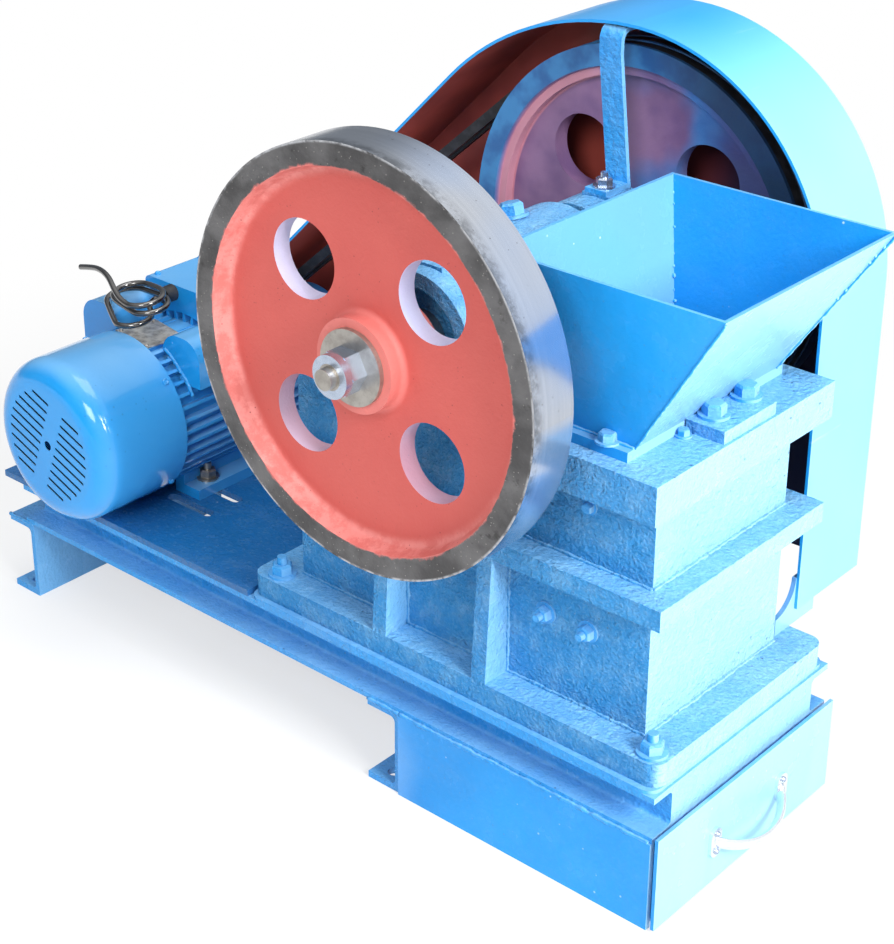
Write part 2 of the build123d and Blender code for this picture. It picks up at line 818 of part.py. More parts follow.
# Motor pulley on the motor shaft, in line with the drive pulley
motor_pulley_radius = motor_pulley_diameter / 2
with BuildPart() as motor_pulley:
    with BuildSketch(axle_plane(motor_x, motor_z)):
        with Locations((motor_pulley_radius / 2, wheel_inner + motor_pulley_width / 2)):
            Rectangle(motor_pulley_radius, motor_pulley_width)
        with Locations((motor_shaft_diameter / 4, (motor_end + wheel_inner) / 2)):
            Rectangle(motor_shaft_diameter / 2, wheel_inner - motor_end)
    revolve(axis=axle(motor_x, motor_z))
    with BuildSketch(axle_plane(motor_x, motor_z)):
        cut_grooves(motor_pulley_radius, wheel_inner)
    revolve(axis=axle(motor_x, motor_z), mode=Mode.SUBTRACT)
save(motor_pulley, "motor_pulley")


def tangent_angle(large, small, centre):
    """Angle, in degrees, of the upper tangent's normal between the motor circle and a larger circle."""
    span_x = centre[0] - motor_x
    span_z = centre[1] - motor_z
    lean = degrees(atan2(span_z, span_x))
    return lean + degrees(acos((small - large) / hypot(span_x, span_z)))


# V-belts: one loop in each pair of grooves, drawn as a section swept round both pulleys
belt_line = wheel_radius - belt_sink - belt_height / 2
motor_line = motor_pulley_radius - belt_sink - belt_height / 2
belt_lean = degrees(atan2(shaft_z - motor_z, shaft_x - motor_x))
belt_spread = degrees(acos((motor_line - belt_line) / hypot(shaft_z - motor_z, shaft_x - motor_x)))
groove_slope = (groove_width - groove_floor_width) / 2 / groove_depth
belt_top_half = groove_width / 2 - belt_sink * groove_slope - belt_clearance
belt_foot_half = belt_top_half - belt_height * groove_slope
for belt_name, middle in zip(("near_belt", "far_belt"), groove_places(wheel_inner)):
    with BuildPart() as belt:
        belt_plane = Plane(origin=(0, middle, 0), x_dir=(1, 0, 0), z_dir=(0, -1, 0))
        with BuildLine(belt_plane) as belt_path:
            upper = belt_lean + belt_spread
            lower = belt_lean - belt_spread
            big_arc = CenterArc((shaft_x, shaft_z), belt_line, lower, 2 * belt_spread)
            small_arc = CenterArc((motor_x, motor_z), motor_line, upper, 360 - 2 * belt_spread)
            Line(big_arc @ 1, small_arc @ 0)
            Line(small_arc @ 1, big_arc @ 0)
        start = big_arc @ 0
        outward = Vector(cos(radians(lower)), 0, sin(radians(lower)))
        with BuildSketch(Plane(origin=start, x_dir=outward, z_dir=big_arc % 0)):
            with BuildLine():
                Polyline(
                    (belt_height / 2, -belt_top_half),
                    (belt_height / 2, belt_top_half),
                    (-belt_height / 2, belt_foot_half),
                    (-belt_height / 2, -belt_foot_half),
                    close=True,
                )
            make_face()
        sweep(path=belt_path.wires()[0], transition=Transition.RIGHT)
    save(belt, belt_name)


def guard_curve(inset):
    """Draw the guard's rim inset from its outside: foot, pulley arc, flatter shoulder, motor end."""
    large = guard_radius - inset
    shoulder = guard_shoulder_radius - inset
    small = guard_motor_radius - inset
    shoulder_centre = (guard_x, shoulder_z)
    normal = tangent_angle(shoulder, small, shoulder_centre)
    over_arc = CenterArc((guard_x, guard_z), large, 0, 90)
    shoulder_arc = CenterArc(shoulder_centre, shoulder, 90, normal - 90)
    motor_arc = CenterArc((motor_x, motor_z), small, normal, guard_motor_wrap)
    foot = (guard_x + large, guard_foot_level)
    Line(foot, over_arc @ 0)
    Line(shoulder_arc @ 1, motor_arc @ 0)
    return foot, motor_arc @ 1


guard_side = Plane(origin=(0, guard_outer, 0), x_dir=(1, 0, 0), z_dir=(0, -1, 0))
with BuildPart() as guard_plate:
    with BuildSketch(guard_side):
        with BuildLine():
            guard_start, guard_end = guard_curve(0)
            Line(guard_end, guard_start)
        make_face()
    extrude(amount=guard_sheet)
save(guard_plate, "guard_plate")

with BuildPart() as guard_rim:
    with BuildSketch(Plane(origin=(0, guard_plate_y, 0), x_dir=(1, 0, 0), z_dir=(0, -1, 0))):
        with BuildLine():
            outer_start, outer_end = guard_curve(0)
            inner_start, inner_end = guard_curve(guard_sheet)
            Line(outer_start, inner_start)
            Line(outer_end, inner_end)
        make_face()
    extrude(amount=guard_plate_y - guard_inner)
save(guard_rim, "guard_rim")

# Guard bracket: a flat bar from under the rim, bent down and leaning to the far bearing housing's pad
pad_top = shaft_z + housing_diameter / 2 + pad_rise
rim_reach = guard_shift + bracket_lean + bracket_width / 2
bracket_top = shoulder_z + sqrt((guard_shoulder_radius - guard_sheet) ** 2 - rim_reach**2) - bracket_clearance
bar_face = guard_inner - bracket_thickness
lap_x = shaft_x - bracket_lean
outer_bend = bracket_bend + bracket_thickness
bend_base = bracket_top - 2 * outer_bend
lap_end = guard_inner + bracket_lap
with BuildPart() as guard_bracket:
    with BuildSketch(Plane.XZ.offset(-bar_face)):
        Polygon(
            (shaft_x - bracket_width / 2, pad_top),
            (shaft_x + bracket_width / 2, pad_top),
            (lap_x + bracket_width / 2, bend_base),
            (lap_x - bracket_width / 2, bend_base),
        )
    extrude(amount=-bracket_thickness)
    with BuildSketch(Plane.XY.offset(pad_top)):
        with Locations((shaft_x, (half_body + guard_inner) / 2)):
            Rectangle(bracket_width, guard_inner - half_body)
    extrude(amount=bracket_thickness)
    with BuildSketch(Plane.YZ.offset(lap_x - bracket_width / 2)):
        with BuildLine():
            under_side = bracket_top - bracket_thickness
            outside = ((bar_face, bend_base), (bar_face, bracket_top), (lap_end, bracket_top))
            FilletPolyline(*outside, radius=outer_bend)
            Line((lap_end, bracket_top), (lap_end, under_side))
            inside = ((lap_end, under_side), (guard_inner, under_side), (guard_inner, bend_base))
            FilletPolyline(*inside, radius=bracket_bend)
            Line((guard_inner, bend_base), (bar_face, bend_base))
        make_face()
    extrude(amount=bracket_width)
save(guard_bracket, "guard_bracket")

# Guard foot: a plate on the base flange, hollowed beside the body, that carries the rim's lower end
foot_face = guard_x + guard_radius - guard_sheet
foot_side = half_body + guard_foot_gap
with BuildPart() as guard_foot:
    with BuildSketch(Plane.YZ.offset(foot_face)):
        with Locations((foot_side + guard_foot_length / 2, base_top + guard_foot_height / 2)):
            Rectangle(guard_foot_length, guard_foot_height)
        with Locations((foot_side, base_top + guard_foot_height)):
            Circle(guard_foot_hollow, mode=Mode.SUBTRACT)
    extrude(amount=-guard_foot_thickness)
save(guard_foot, "guard_foot")

# Hopper: a flange on the top plate and four leaning sheets welded at their corners
hopper_front = plate_front - hopper_front_setback
hopper_rear = hopper_front - hopper_base_length
rim_rear = hopper_rear - hopper_rim_setback
rim_front = rim_rear + hopper_rim_length
base_corners = (hopper_rear, hopper_front, hopper_base_width / 2)
rim_corners = (rim_rear, rim_front, hopper_rim_width / 2)
with BuildPart() as hopper_flange:
    with BuildSketch(Plane.XY.offset(plate_top)):
        with Locations(((hopper_rear + hopper_front) / 2, 0)):
            Rectangle(hopper_base_length, hopper_base_width + 2 * hopper_flange_lap)
            mouth_length = hopper_base_length - 2 * hopper_sheet
            mouth_width = hopper_base_width - 2 * hopper_sheet
            Rectangle(mouth_length, mouth_width, mode=Mode.SUBTRACT)
    extrude(amount=hopper_flange_thickness)
save(hopper_flange, "hopper_flange")


def hopper_outline(wall, corners):
    """Plan section of one hopper wall at one level, mitred at both ends."""
    rear, front, half = corners
    inner_rear = rear + hopper_sheet
    inner_front = front - hopper_sheet
    inner_half = half - hopper_sheet
    outlines = {
        "near": [(rear, -half), (front, -half), (inner_front, -inner_half), (inner_rear, -inner_half)],
        "far": [(rear, half), (front, half), (inner_front, inner_half), (inner_rear, inner_half)],
        "front": [(front, -half), (front, half), (inner_front, inner_half), (inner_front, -inner_half)],
        "rear": [(rear, -half), (rear, half), (inner_rear, inner_half), (inner_rear, -inner_half)],
    }
    return outlines[wall]


for wall_name in ("near", "far", "front", "rear"):
    with BuildPart() as hopper_wall:
        for level, corners in ((hopper_foot, base_corners), (hopper_rim, rim_corners)):
            with BuildSketch(Plane.XY.offset(level)):
                with BuildLine():
                    Polyline(*hopper_outline(wall_name, corners), close=True)
                make_face()
        loft(ruled=True)
    save(hopper_wall, f"hopper_{wall_name}_wall")

# Motor frame: finned casting with two feet
frame_core = frame_core_diameter / 2
frame_back = motor_near + frame_length
with BuildPart() as motor_frame:
    with BuildSketch(Plane.XZ.offset(-motor_near)):
        with Locations((motor_x, motor_z)):
            Circle(frame_core)
            with PolarLocations(frame_core, fin_count):
                Rectangle(2 * fin_height, fin_thickness)
            Circle(motor_shaft_diameter / 2, mode=Mode.SUBTRACT)
    extrude(amount=-frame_length)
    with BuildSketch(Plane.XZ.offset(foot_near_end - foot_rows[0])):
        for side in (-1, 1):
            foot_x = motor_x + side * foot_pitch_x / 2
            with Locations((foot_x, bed_top + foot_thickness / 2)):
                Rectangle(foot_width, foot_thickness)
            with Locations((foot_x - side * foot_web, bed_top + foot_web_height / 2)):
                Rectangle(foot_web, foot_web_height)
    extrude(amount=-(foot_near_end + foot_pitch_y + foot_far_end))
    pad_ends = (motor_near - overrun, motor_near + cover_setback + capacitor_length)
    pad_sides = (motor_x - name_pad_width / 2, motor_x + name_pad_width / 2)
    cut_block(pad_sides, pad_ends, (motor_z + frame_core, motor_z + frame_core + fin_height + overrun))
save(motor_frame, "motor_frame")

# Fan cowl: spun sheet cup with two fields of slanted slots in its face
cowl_radius = cowl_diameter / 2
cowl_face = motor_near - cowl_length
with BuildPart() as fan_cowl:
    with BuildSketch(axle_plane(motor_x, motor_z)) as cowl_section:
        with Locations((cowl_radius / 2, motor_near - cowl_length / 2)):
            Rectangle(cowl_radius, cowl_length)
        outer_corner = cowl_section.vertices().group_by(Axis.Y)[0].sort_by(Axis.X)[-1]
        fillet(outer_corner, cowl_edge_radius)
    revolve(axis=axle(motor_x, motor_z))
    cowl_mouth = fan_cowl.faces().sort_by(Axis.Y)[-1]
    offset(amount=-cowl_sheet, openings=cowl_mouth)
    slant_cos = cos(radians(cowl_slot_slant))
    slant_sin = sin(radians(cowl_slot_slant))
    with BuildSketch(Plane.XZ.offset(-cowl_face - overrun)):
        for count in range(cowl_slot_count):
            height = (count - (cowl_slot_count - 1) / 2) * cowl_slot_pitch
            reach = sqrt((cowl_field_diameter / 2) ** 2 - height**2)
            for field in (-1, 1):
                middle = field * (reach + cowl_slot_gap / 2) / 2
                slot_x = motor_x + middle * slant_cos - height * slant_sin
                slot_z = motor_z + middle * slant_sin + height * slant_cos
                with Locations((slot_x, slot_z)):
                    SlotOverall(reach - cowl_slot_gap / 2, cowl_slot_width, rotation=cowl_slot_slant)
        with Locations((motor_x, motor_z)):
            Circle(cowl_hole_diameter / 2)
    extrude(amount=2 * overrun, mode=Mode.SUBTRACT)
save(fan_cowl, "fan_cowl")

with BuildPart() as drive_end_shield:
    for diameter, low, length in (
        (shield_diameter, frame_back, shield_length),
        (shield_boss_diameter, frame_back + shield_length, shield_boss_length),
    ):
        with BuildSketch(Plane.XZ.offset(-low)):
            with Locations((motor_x, motor_z)):
                Circle(diameter / 2)
        extrude(amount=-length)
save(drive_end_shield, "drive_end_shield")


def motor_box(length, width, base, rise, shift, corner, low):
    """Make a box on top of the motor fins with a rounded crown, starting at a station across the machine."""
    with BuildPart() as piece:
        with BuildSketch(Plane.XZ.offset(-low)) as section:
            with Locations((motor_x + shift, motor_z + (base + rise) / 2)):
                Rectangle(width, rise - base)
            fillet(section.vertices().group_by(Axis.Y)[-1], corner)
            with Locations((motor_x, motor_z)):
                Circle(frame_core + fin_height + box_seat_gap, mode=Mode.SUBTRACT)
        extrude(amount=-length)
    return piece


cover_near = motor_near + cover_setback
terminal_near = cover_near + capacitor_length
terminal_sizes = (terminal_length, terminal_width, 0, terminal_rise, terminal_shift, terminal_corner)
capacitor_levels = (capacitor_base, capacitor_rise)
capacitor_sizes = (capacitor_length, capacitor_width, *capacitor_levels, capacitor_shift, capacitor_corner)
switch_sizes = (switch_length, switch_width, switch_base, switch_rise, switch_shift, switch_corner)
save(motor_box(*terminal_sizes, terminal_near), "terminal_box")
save(motor_box(*capacitor_sizes, cover_near), "capacitor_cover")
save(motor_box(*switch_sizes, cover_near), "switch_cover")

# Cord gland in the terminal box, and the coiled supply cord as one closed shape in front of it
gland_x = motor_x + terminal_shift
gland_end = terminal_near - gland_length
with BuildPart() as cord_gland:
    with BuildSketch(Plane.XZ.offset(-terminal_near)):
        with Locations((gland_x, motor_z + gland_rise)):
            Circle(gland_diameter / 2)
            Circle(gland_bore_diameter / 2, mode=Mode.SUBTRACT)
    extrude(amount=gland_length)
save(cord_gland, "cord_gland")

with BuildPart() as cord_hank:
    with BuildSketch(Plane.XY.offset(motor_z + capacitor_rise + hank_gap)):
        with Locations((motor_x + hank_shift, gland_end - hank_width / 2)):
            RectangleRounded(hank_length, hank_width, hank_corner)
    extrude(amount=hank_thickness)
save(cord_hank, "cord_hank")
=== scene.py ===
"""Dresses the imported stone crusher: finishes, fasteners, weld beads, nameplate and supply cord."""
import json
import logging
import math
from dataclasses import dataclass, field, replace
from enum import Enum
from functools import cached_property, partialmethod
from typing import Any, Sequence

import bpy
from bpy.types import ID, Material, Mesh, Node, NodeSocket as Socket, NodeTree, Object
from mathutils import Matrix, Vector

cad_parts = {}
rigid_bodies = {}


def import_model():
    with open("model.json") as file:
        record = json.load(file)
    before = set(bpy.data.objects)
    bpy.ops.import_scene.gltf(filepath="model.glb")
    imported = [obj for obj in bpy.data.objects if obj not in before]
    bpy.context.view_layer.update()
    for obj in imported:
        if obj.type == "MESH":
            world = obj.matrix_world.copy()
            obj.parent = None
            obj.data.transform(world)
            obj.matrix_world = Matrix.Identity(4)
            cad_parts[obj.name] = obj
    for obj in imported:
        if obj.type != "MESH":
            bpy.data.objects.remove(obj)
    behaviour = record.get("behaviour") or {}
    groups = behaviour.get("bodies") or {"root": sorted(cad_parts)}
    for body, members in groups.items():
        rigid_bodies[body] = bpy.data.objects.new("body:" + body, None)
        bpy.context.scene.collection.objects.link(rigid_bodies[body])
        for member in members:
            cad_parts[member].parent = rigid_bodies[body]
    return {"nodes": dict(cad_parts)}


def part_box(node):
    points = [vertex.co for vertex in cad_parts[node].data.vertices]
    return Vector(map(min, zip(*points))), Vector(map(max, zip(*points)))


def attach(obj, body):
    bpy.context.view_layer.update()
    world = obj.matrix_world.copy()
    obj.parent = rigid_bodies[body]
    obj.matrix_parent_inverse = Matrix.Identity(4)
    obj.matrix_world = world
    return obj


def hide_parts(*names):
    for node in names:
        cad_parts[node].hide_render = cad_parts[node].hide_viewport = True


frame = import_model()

LOG = logging.getLogger("stone_crusher")
MM = 0.001
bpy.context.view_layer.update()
Rgb = tuple[float, float, float]
Point = tuple[float, float, float]
Pair = tuple[float, float]
Floats = tuple[float, ...]
UP: Point = (0, 0, 1)


def rgb(code: str) -> Rgb:
    """Turn a screen colour such as "1482dc" into linear light.

    Args:
        code: Six hexadecimal digits.

    Returns:
        The colour's three linear shares.
    """
    parts = [int(code[at:at + 2], 16) / 255 for at in (0, 2, 4)]
    return tuple(p / 12.92 if p <= 0.04045 else ((p + 0.055) / 1.055) ** 2.4 for p in parts)


def polar(degrees: float, radius: float = 1.0) -> Pair:
    """The two shares of an arm of some radius, turned by an angle."""
    turn = math.radians(degrees)
    return radius * math.cos(turn), radius * math.sin(turn)


class Graph:
    """A node tree that is written as Python expressions."""

    def __init__(self, tree: NodeTree) -> None:
        """Keep the tree that the nodes go into."""
        self.tree = tree

    def node(self, kind: str, settings: dict[str, Any] | None = None, **sockets: Any) -> Node:
        """Add any node, set it up and feed its sockets.

        Args:
            kind: The node's type name.
            settings: Properties, set before the sockets.
            sockets: Values or links by socket name, with _ for a space, or by index as in i0.

        Returns:
            The new node.
        """
        made = self.tree.nodes.new(kind)
        for name, value in (settings or {}).items():
            setattr(made, name, value)
        for name, value in sockets.items():
            numbered = name[0] == "i" and name[1:].isdigit()
            key = int(name[1:]) if numbered else name.replace("_", " ")
            self.feed(made.inputs[key], value)
        return made

    def feed(self, socket: Socket, value: Any) -> None:
        """Link a wrapped or plain socket to an input, or set the input's own value or colour code."""
        source = value.socket if isinstance(value, Wire) else value
        if isinstance(source, Socket):
            self.tree.links.new(source, socket)
        elif socket.type == "RGBA":
            socket.default_value = (*(rgb(source) if isinstance(source, str) else source), 1)
        else:
            socket.default_value = source

    def wire(self, node: Node, output: str | int = 0) -> "Wire":
        """Wrap one output of a node for arithmetic."""
        return Wire(self, node.outputs[output])


class Wire:
    """A value socket that adds Math nodes when it is used in an expression."""

    def __init__(self, graph: Graph, socket: Socket) -> None:
        """Keep the socket and the graph it belongs to."""
        self.graph = graph
        self.socket = socket

    def _math(self, operation: str, *others: Any, swapped: bool = False) -> "Wire":
        """Add one Math node on this value and any others, which come first if swapped."""
        values = (*others, self) if swapped else (self, *others)
        sockets = {f"i{at}": value for at, value in enumerate(values)}
        return self.graph.wire(self.graph.node("ShaderNodeMath", {"operation": operation}, **sockets))

    __add__ = __radd__ = partialmethod(_math, "ADD")
    __sub__ = partialmethod(_math, "SUBTRACT")
    __rsub__ = partialmethod(_math, "SUBTRACT", swapped=True)
    __mul__ = __rmul__ = partialmethod(_math, "MULTIPLY")
    __pow__ = partialmethod(_math, "POWER")
    __abs__ = partialmethod(_math, "ABSOLUTE")
    most = partialmethod(_math, "MAXIMUM")
    least = partialmethod(_math, "MINIMUM")
    root = partialmethod(_math, "SQRT")

    def step(self, low: float, high: float) -> "Wire":
        """Rise smoothly from 0 at low to 1 at high; low may be the larger."""
        mapped = self.graph.node(
            "ShaderNodeMapRange", {"interpolation_type": "SMOOTHSTEP"},
            Value=self, From_Min=low, From_Max=high,
        )
        return self.graph.wire(mapped)


class Shader(Graph):
    """One material, with the patterns that several finishes share."""

    def __init__(self, name: str) -> None:
        """Start an empty material that reads Object coordinates."""
        self.material = bpy.data.materials.new(name)
        self.material.use_nodes = True
        super().__init__(self.material.node_tree)
        self.tree.nodes.clear()
        place = self.node("ShaderNodeTexCoord")
        self.coords = place.outputs["Object"]
        split = self.node("ShaderNodeSeparateXYZ", Vector=self.coords)
        self.x, self.y, self.z = (self.wire(split, axis) for axis in "XYZ")
        facing = self.node("ShaderNodeSeparateXYZ", Vector=place.outputs["Normal"])
        self.nx, self.ny, self.nz = (self.wire(facing, axis) for axis in "XYZ")

    def stretched(self, scale: Point) -> Socket:
        """Object coordinates stretched along the axes."""
        return self.node("ShaderNodeMapping", Vector=self.coords, Scale=scale).outputs[0]

    def slanted(self, scale: Point) -> Socket:
        """Object coordinates turned half way between level and upright, then stretched."""
        return self.node("ShaderNodeMapping", {"vector_type": "TEXTURE"}, Vector=self.stretched(scale),
                         Rotation=(0.0, 0.8, 0.0)).outputs[0]

    def noise(self, scale: float, detail: float = 3.0, rough: float = 0.55,
              coords: Socket | None = None) -> Wire:
        """Cloudy noise.

        Args:
            scale: Features to a metre.
            detail: Layers of finer noise.
            rough: Strength of the finer layers.
            coords: Other coordinates than the object's own.

        Returns:
            The noise, about 0.3 to 0.7.
        """
        made = self.node("ShaderNodeTexNoise", Vector=coords or self.coords, Scale=scale, Detail=detail,
                         Roughness=rough)
        return self.wire(made, "Fac")

    def cells(self, scale: float) -> Wire:
        """Distance to the nearest of many scattered points."""
        return self.wire(self.node("ShaderNodeTexVoronoi", Vector=self.coords, Scale=scale))

    def mix(self, share: Any, first: Any, second: Any) -> Socket:
        """Blend two colours.

        Args:
            share: How much of the second colour shows.
            first: A colour code or a colour socket.
            second: A colour code or a colour socket.

        Returns:
            The blended colour's socket.
        """
        made = self.node("ShaderNodeMix", {"data_type": "RGBA"}, i0=share, i6=first, i7=second)
        return made.outputs[2]

    def radius_from(self, x: float, z: float) -> Wire:
        """Distance in metres from an axle line along Y, placed in millimetres."""
        return ((self.x - x * MM) ** 2 + (self.z - z * MM) ** 2).root()

    def relief(self, height: Wire, strength: float, distance: float,
               under: Socket | None = None) -> Socket:
        """Bend the surface normal by a height pattern, on top of an earlier one if given."""
        made = self.node("ShaderNodeBump", Height=height, Strength=strength, Distance=distance)
        if under is not None:
            self.feed(made.inputs["Normal"], under)
        return made.outputs[0]

    def surface(self, **sockets: Any) -> Material:
        """End the material in a Principled shader."""
        made = self.node("ShaderNodeBsdfPrincipled", **sockets)
        out = self.node("ShaderNodeOutputMaterial")
        self.tree.links.new(made.outputs[0], out.inputs[0])
        return self.material


BLUE = "1b97e2"
PALE_BLUE = "b4e4f8"
DEEP_BLUE = "1274c4"
SHADE_BLUE = "0b4680"
PRIMER = "c0564f"
SHAFT_X, SHAFT_Z = 276.0, 418.0
MOTOR_X, MOTOR_Z = -133.0, 204.0


@dataclass(frozen=True)
class PaintFinish:
    """Blue machine paint over a casting, rolled steel or sheet.

    Grain to wipes are the strengths of its relief and marks. Shade paints shadow into it, sun paints the
    key lamp's light onto what faces +X, and hollow is the radius in metres within which painted shade
    darkens the slots of the motor's cowl.
    """

    name: str
    grain: float
    grain_scale: float
    dents: float
    pits: float
    flecks: float
    wipes: float
    gloss: float
    shade: float = 0.0
    coat: float = 0.08
    sun: float = 1.0
    hollow: float = 0.0

    def make(self) -> Material:
        """Build the paint's material."""
        s = Shader(self.name)
        sunward, upward = s.nx.step(0.35, 0.95), s.nz.step(0.5, 0.96)
        broad = s.noise(5, 2)
        patch = s.noise(46, 3)
        fine = s.noise(self.grain_scale, 3, 0.62)
        colour = s.mix(broad.step(0.38, 0.72) * 0.4, BLUE, DEEP_BLUE)
        # Painted sheen: paler by the grain's strength, in patches, for the highlights on the cast bumps.
        colour = s.mix((0.5 + patch.step(0.4, 0.7)) * self.grain * 0.17, colour, PALE_BLUE)
        # Painted light: faces towards +X, more so at the front, and top faces turn paler; less where shadow
        # is painted.
        sunny = sunward * (0.28 + 0.16 * broad + 0.38 * s.x.step(0.33, 0.44))
        painted_top_light = upward * (0.25 + 0.14 * s.noise(9, 2).step(0.38, 0.72))
        colour = s.mix((sunny * self.sun).most(painted_top_light) * (1 - self.shade), colour, PALE_BLUE)
        # Painted shadow: darker towards SHADE_BLUE by the shade share.
        colour = s.mix(self.shade * (0.7 + 0.3 * broad), colour, SHADE_BLUE)
        skin = self.grain * (1 - 0.8 * sunward)
        # Painted shade in the hollows of the grain and painted highlight on its tops, weaker on faces towards
        # +X.
        colour = s.mix(fine.step(0.56, 0.36) * skin * 0.2, colour, DEEP_BLUE)
        colour = s.mix(fine.step(0.52, 0.7) * skin * 0.14, colour, PALE_BLUE)
        # Painted shade: near black inside the cowl behind its front, within the hollow radius, seen through
        # the slots.
        if self.hollow:
            within = s.radius_from(MOTOR_X, MOTOR_Z).step(self.hollow, self.hollow - 0.001)
            colour = s.mix(within * s.y.step(-0.1556, -0.1548), colour, "05111e")
        wipe = s.noise(1, 2, 0.5, s.slanted((5, 26, 4))).step(0.47, 0.62)
        colour = s.mix(wipe * self.wipes, colour, "9cc4f0")
        pits = s.cells(115).step(0.15, 0.05) * s.noise(8, 2).step(0.5, 0.62)
        colour = s.mix(pits * self.pits, colour, "0d3f6e")
        flecks = s.cells(64).step(0.075, 0.04) * s.noise(6, 2).step(0.5, 0.6)
        colour = s.mix(flecks * self.flecks, colour, "dff4ff")
        lumps = fine + s.noise(self.grain_scale * 0.45, 1) * 0.8 - 0.9
        height = lumps * (1.7 - 1.15 * sunward.most(upward)) - pits * 0.5
        bent = s.relief(s.noise(15, 2), self.dents, 0.004)
        bent = s.relief(height, self.grain, 0.0045, bent)
        rough = self.gloss + patch.step(0.4, 0.7) * 0.1 + pits * 0.2
        return s.surface(Base_Color=colour, Roughness=rough, Normal=bent, Specular_IOR_Level=0.25,
                         Coat_Weight=self.coat, Coat_Roughness=0.06)


@dataclass(frozen=True)
class WheelFinish:
    """A cast wheel, primed inside its rim and turned bright outside it."""

    name: str
    face: float
    rim_radius: float
    rim_inside: float
    hole_pitch: float
    hole_radius: float

    def make(self) -> Material:
        """Build the flywheel's material, zone by zone from the shaft outwards."""
        s = Shader(self.name)
        radius = s.radius_from(SHAFT_X, SHAFT_Z)
        ragged = s.noise(60, 5, 0.7)
        grain = s.noise(380, 4, 0.6)
        soft = s.noise(7, 2)
        lobe = self.hole_pitch / math.sqrt(2)
        off_x, off_z = abs(s.x - SHAFT_X * MM) - lobe, abs(s.z - SHAFT_Z * MM) - lobe
        aside = (off_x ** 2 + off_z ** 2).root()
        primer = s.mix(s.noise(11, 3).step(0.35, 0.72) * 0.6, PRIMER, "b94c47")
        slope = radius.step(self.rim_inside - 0.012, self.rim_inside - 0.003)
        primer = s.mix(slope * (0.25 + ragged.step(0.4, 0.6) * 0.35), primer, "e59a94")
        primer = s.mix(s.cells(230).step(0.18, 0.06) * ragged.step(0.5, 0.62), primer, "8c3a38")
        hub = radius.step(0.041, 0.036)
        # Painted highlight: the hub zone paler pink, standing in for its lit side.
        primer = s.mix(hub * 0.35, primer, "e8938c")
        wall = aside.step(self.hole_radius + 0.003, self.hole_radius + 0.001) * abs(s.ny).step(0.7, 0.3)
        primer = s.mix(wall * (0.35 + soft.step(0.3, 0.6) * 0.6), primer, "ccd2ee")
        lines = s.noise(1, 2, 0.6, s.stretched((1.5, 420, 1.5)))
        turned = s.mix(lines.step(0.3, 0.7) * 0.3, "b4b9c1", "d2d6de")
        # Painted reflection: the turned rim tinted blue in soft patches.
        turned = s.mix(soft.step(0.42, 0.66) * 0.5, turned, "a9c0e4")
        smear = (s.y - self.face).step(0.013, 0.002) * ragged.step(0.36, 0.62)
        turned = s.mix(smear * 0.6, turned, "3f4246")
        turned = s.mix(s.cells(150).step(0.12, 0.05) * 0.5, turned, "33353a")
        faced = s.mix(s.noise(28, 4).step(0.35, 0.7), "4a494a", "6d6c6d")
        faced = s.mix(s.cells(260).step(0.16, 0.05) * 0.6, faced, "b4b0aa")
        faced = s.mix(ragged.step(0.6, 0.7) * 0.6, faced, "2c2a29")
        worn = radius.step(self.rim_radius - 0.0022, self.rim_radius - 0.0006) * ragged.step(0.38, 0.6)
        faced = s.mix(worn * 0.8, faced, "c9cbd0")
        edge = radius + (ragged - 0.5) * 0.012
        on_face = (s.ny * -1).step(0.6, 0.9) * edge.step(self.rim_inside - 0.001, self.rim_inside + 0.0015)
        on_rim = radius.step(self.rim_radius - 0.002, self.rim_radius - 0.0008) * abs(s.ny).step(0.6, 0.4)
        colour = s.mix(on_rim, s.mix(on_face, primer, faced), turned)
        rough = on_face * (0.36 + ragged * 0.2) + on_rim * (0.17 + lines * 0.06)
        rough = rough + (1 - on_face.most(on_rim)) * (0.5 + grain * 0.16)
        height = grain + s.noise(170, 1) * 0.8
        cast = s.relief(height * (1 - on_rim), 0.4, 0.0011)
        metal = on_rim * 0.9 + on_face * 0.55
        return s.surface(Base_Color=colour, Roughness=rough, Metallic=metal, Normal=cast)


@dataclass(frozen=True)
class PulleyFinish:
    """The drive pulley: primer with drifts of blue overspray."""

    name: str

    def make(self) -> Material:
        """Build the pulley's material."""
        s = Shader(self.name)
        drift = s.noise(9, 3, 0.55)
        radius = s.radius_from(SHAFT_X, SHAFT_Z)
        primer = s.mix(s.noise(20, 3).step(0.35, 0.7), "8d6c92", "70547f")
        blue = s.mix(s.noise(26, 3).step(0.4, 0.7), "3d7fc0", "2a66ac")
        aside = s.x - SHAFT_X * MM
        web = s.mix((drift + aside * 1.6 + 0.06).step(0.4, 0.62), primer, blue)
        # Painted shadow: the web darker towards +X.
        web = s.mix((aside + (drift - 0.5) * 0.12).step(0.03, 0.1) * 0.75, web, "4a3a66")
        rim = s.mix(s.noise(34, 3).step(0.4, 0.65), "3a80b8", "28609a")
        # Painted shadow: the rim darker towards +X.
        rim = s.mix(aside.step(-0.02, 0.09) * 0.85, rim, "15203c")
        rim_share = (radius + (drift - 0.5) * 0.002).step(0.1435, 0.1455)
        # Painted highlight: a pale pink ring at the rim's inner ridge, on the -X side only.
        painted_ridge_highlight = abs(radius - 0.1395).step(0.0052, 0.0035) * aside.step(0.02, -0.06)
        colour = s.mix(rim_share, s.mix(painted_ridge_highlight * 0.85, web, "cf8f9c"), rim)
        bent = s.relief(s.noise(380, 3) + s.noise(170, 1) * 0.6, 0.3, 0.0009)
        return s.surface(Base_Color=colour, Roughness=0.4 + drift * 0.2, Normal=bent)


